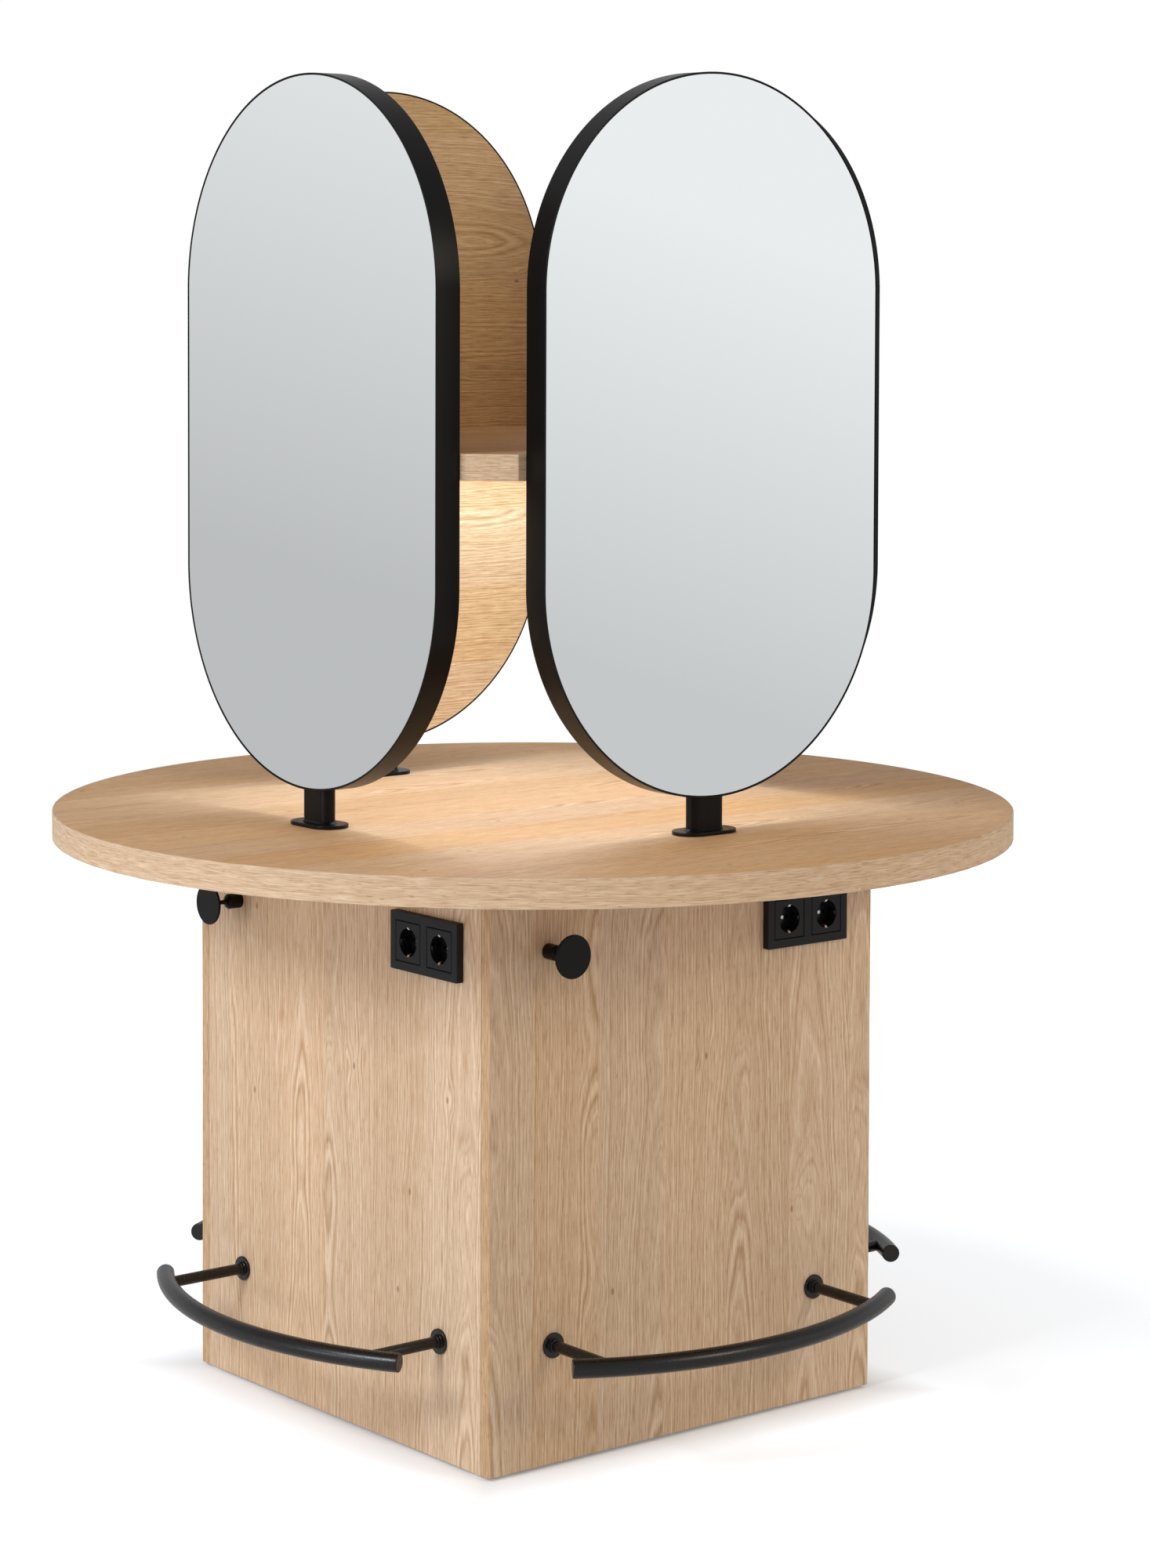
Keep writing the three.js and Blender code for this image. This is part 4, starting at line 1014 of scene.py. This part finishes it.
class SALON_OT_stage(bpy.types.Operator):
    """Pale floor, soft lights and the camera"""

    bl_idname = "salon.stage"
    bl_label = "Stage"

    def floor(self):
        """Pale round floor, lit to the eye like a studio floor but for a soft shadow along the cabinet."""
        radius, steps, fade_start, fade_end = 6.0, 96, 3.0, 5.9
        dim_reach, bright_reach, dim_glow, bright_glow = 1.0, 2.8, 0.48, 1.5
        shadow_width, shadow = 90 * MM, 0.3
        wall = size_of("base_panel_front").x / 2
        pale, tree, shader, place = new_material("pale_floor")
        reach = add(tree, "VectorMath", (place,), operation="LENGTH").outputs["Value"]
        far = add(tree, "MapRange", (reach, dim_reach, bright_reach, dim_glow, bright_glow))
        split = add(tree, "SeparateXYZ", (place,))
        beside_x = add(tree, "Math", (split.outputs[0],), operation="ABSOLUTE")
        beside_y = add(tree, "Math", (split.outputs[1],), operation="ABSOLUTE")
        beside = add(tree, "Math", (beside_x, beside_y), operation="MAXIMUM")
        near = add(tree, "MapRange", (beside, wall, wall + shadow_width, shadow, 1.0))
        lit = add(tree, "Math", (far, near), operation="MULTIPLY")
        seen = add(tree, "LightPath").outputs["Is Camera Ray"]
        glow = add(tree, "Math", (lit, seen), operation="MULTIPLY")
        # The rim dissolves so that no mirror shows it as a line
        solid = add(tree, "MapRange", (reach, fade_start, fade_end, 1.0, 0.0))
        feed(tree, shader, {"Base Color": rgba(linear("#F4F4F4")), "Roughness": 0.6, "Alpha": solid,
                            "Specular IOR Level": 0.2, "Emission Color": rgba(linear("#EEF6FF")),
                            "Emission Strength": glow})
        ground = bmesh.new()
        bmesh.ops.create_circle(ground, cap_ends=True, radius=radius, segments=steps)
        mesh = bpy.data.meshes.new("floor")
        ground.to_mesh(mesh)
        ground.free()
        mesh.materials.append(pale)
        plane = bpy.data.objects.new("floor", mesh)
        bpy.context.scene.collection.objects.link(plane)

    def studio(self):
        """Soft sky: white to the eye, a grey to white gradient to the mirrors."""
        slant, horizon_low, horizon_high, wall_dark, wall_light = -0.228, -0.137, -0.007, 0.61, 0.9
        unevenness, ceiling_start, ceiling_end, ceiling_dim = 0.044, 0.1, 0.5, 0.54
        world = bpy.context.scene.world or bpy.data.worlds.new("studio")
        bpy.context.scene.world = world
        world.use_nodes = True
        tree = world.node_tree
        tree.nodes.clear()
        look = add(tree, "TexCoord").outputs["Generated"]
        x, y, z = add(tree, "SeparateXYZ", (look,)).outputs

        # The horizon's gradient slants with the way a mirror faces, and the sky dims towards the ceiling
        both = add(tree, "Math", (x, y), operation="ADD")
        tilt = add(tree, "Math", (both,), operation="ABSOLUTE")
        level = add(tree, "Math", (tilt, slant, z), operation="MULTIPLY_ADD")
        wall = add(tree, "MapRange", (level, horizon_low, horizon_high, wall_dark, wall_light))
        across = add(tree, "Math", (x, y), operation="SUBTRACT")
        uneven = add(tree, "Math", (across, unevenness, 1.0), operation="MULTIPLY_ADD")
        ceiling = add(tree, "MapRange", (z, ceiling_start, ceiling_end, 1.0, ceiling_dim))
        strength = add(tree, "Math", (wall, uneven), operation="MULTIPLY")
        strength = add(tree, "Math", (strength, ceiling), operation="MULTIPLY")
        dim = add(tree, "Background", {"Color": rgba(linear("#FDFEFF")), "Strength": strength})
        white = add(tree, "Background", {"Color": (1, 1, 1, 1), "Strength": 1.0})
        seen = add(tree, "LightPath").outputs["Is Camera Ray"]
        add(tree, "OutputWorld", (add(tree, "MixShader", (seen, dim, white)),))

    def lamp(self, name, place, aim, size, power, colour, spread=math.pi):
        """Soft rectangular light that the camera doesn't see."""
        data = bpy.data.lights.new(name, "AREA")
        data.shape = "RECTANGLE"
        data.size, data.size_y = size
        data.energy = power
        data.color = colour
        data.spread = spread
        light = bpy.data.objects.new(name, data)
        light.location = place
        light.rotation_mode = "QUATERNION"
        light.rotation_quaternion = (Vector(aim) - Vector(place)).to_track_quat("-Z", "Y")
        light.visible_camera = False
        bpy.context.scene.collection.objects.link(light)

    def shelf_light(self):
        """Light of the LED ring: four strips, and the soft light that the shelf's underside gives back."""
        low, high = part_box("led_diffuser")
        strip, clear = 13 * MM, 2 * MM
        strip_power, strip_spread, underside_power = 0.98, math.radians(130), 3.7
        under = low.z - clear
        length = high.x - low.x - strip
        for side, turn in SIDES.items():
            place = Matrix.Rotation(turn, 3, "Z") @ Vector((0, -length / 2, under))
            size = (length, strip) if side in WIDE_SIDES else (strip, length)
            self.lamp("led_strip_" + side, place, (place.x, place.y, 0), size, strip_power, colours().led,
                      strip_spread)
        self.lamp("shelf_underside", (0, 0, under), (0, 0, 0), (length, length), underside_power,
                  colours().led)

    def camera(self):
        """Camera solved from the photograph: long lens, a little to the left, with a rise of the lens."""
        place = (-3.38567, -4.294214, 1.628117)
        yaw, pitch, roll = 0.67846, 0.046, 0.00331
        lens_pixels, frame_height, horizon_offset = 4778.235, 2000, 431.96
        ahead = Vector((math.sin(yaw) * math.cos(pitch), math.cos(yaw) * math.cos(pitch), -math.sin(pitch)))
        right = Vector((math.cos(yaw), -math.sin(yaw), 0))
        up = right.cross(ahead)
        right_rolled = right * math.cos(roll) + up * math.sin(roll)
        up_rolled = up * math.cos(roll) - right * math.sin(roll)
        data = bpy.data.cameras.new("camera")
        data.sensor_width = 36
        data.lens = data.sensor_width * lens_pixels / frame_height
        data.shift_y = -horizon_offset / frame_height
        data.clip_end = 100
        camera = bpy.data.objects.new("camera", data)
        turn = Matrix((right_rolled, up_rolled, -ahead)).transposed()
        camera.matrix_world = Matrix.Translation(place) @ turn.to_4x4()
        bpy.context.scene.collection.objects.link(camera)
        bpy.context.scene.camera = camera

    def execute(self, context):
        cool, warm = (0.95, 1.0, 1.06), (1.0, 0.88, 0.68)
        self.floor()
        self.studio()
        self.camera()
        bpy.context.scene.view_settings.view_transform = "Standard"
        self.lamp("left_softbox", (-4.9, -0.3, 3.4), (-0.35, 0, 0.5), (1.4, 1.4), 140, cool)
        self.lamp("left_fill", (-4.9, 0.5, 0.9), (-0.35, 0, 0.6), (1.4, 1.0), 23, cool)
        self.lamp("right_softbox", (1.68, -4.65, 2.95), (0, -0.35, 0.5), (1.4, 1.4), 53, warm)
        self.shelf_light()
        return {"FINISHED"}


class SALON_PT_station(bpy.types.Panel):
    """Lists the station's pieces"""

    bl_idname = "SALON_PT_station"
    bl_label = "Salon station"
    bl_space_type = "VIEW_3D"
    bl_region_type = "UI"
    bl_category = "Salon station"

    def draw(self, context):
        for operator in OPERATORS:
            self.layout.operator(operator.bl_idname)


OPERATORS = (SALON_OT_cabinet, SALON_OT_table, SALON_OT_mirrors, SALON_OT_stands, SALON_OT_shelf,
             SALON_OT_sockets, SALON_OT_hooks, SALON_OT_foot_rails, SALON_OT_feet, SALON_OT_inner_parts,
             SALON_OT_stage)
CLASSES = (StationSizes, StationColours, StationSettings, *OPERATORS, SALON_PT_station)


def register():
    for cls in CLASSES:
        bpy.utils.register_class(cls)
    bpy.types.Scene.salon_station = bpy.props.PointerProperty(
        type=StationSettings, name="Salon station", description="Settings of the salon station")


def unregister():
    del bpy.types.Scene.salon_station
    for cls in reversed(CLASSES):
        bpy.utils.unregister_class(cls)


def main():
    register()
    bpy.ops.salon.cabinet()
    bpy.ops.salon.table()
    bpy.ops.salon.mirrors()
    bpy.ops.salon.stands()
    bpy.ops.salon.shelf()
    bpy.ops.salon.sockets()
    bpy.ops.salon.hooks()
    bpy.ops.salon.foot_rails()
    bpy.ops.salon.feet()
    bpy.ops.salon.inner_parts()
    bpy.ops.salon.stage()


if __name__ == "__main__":
    main()
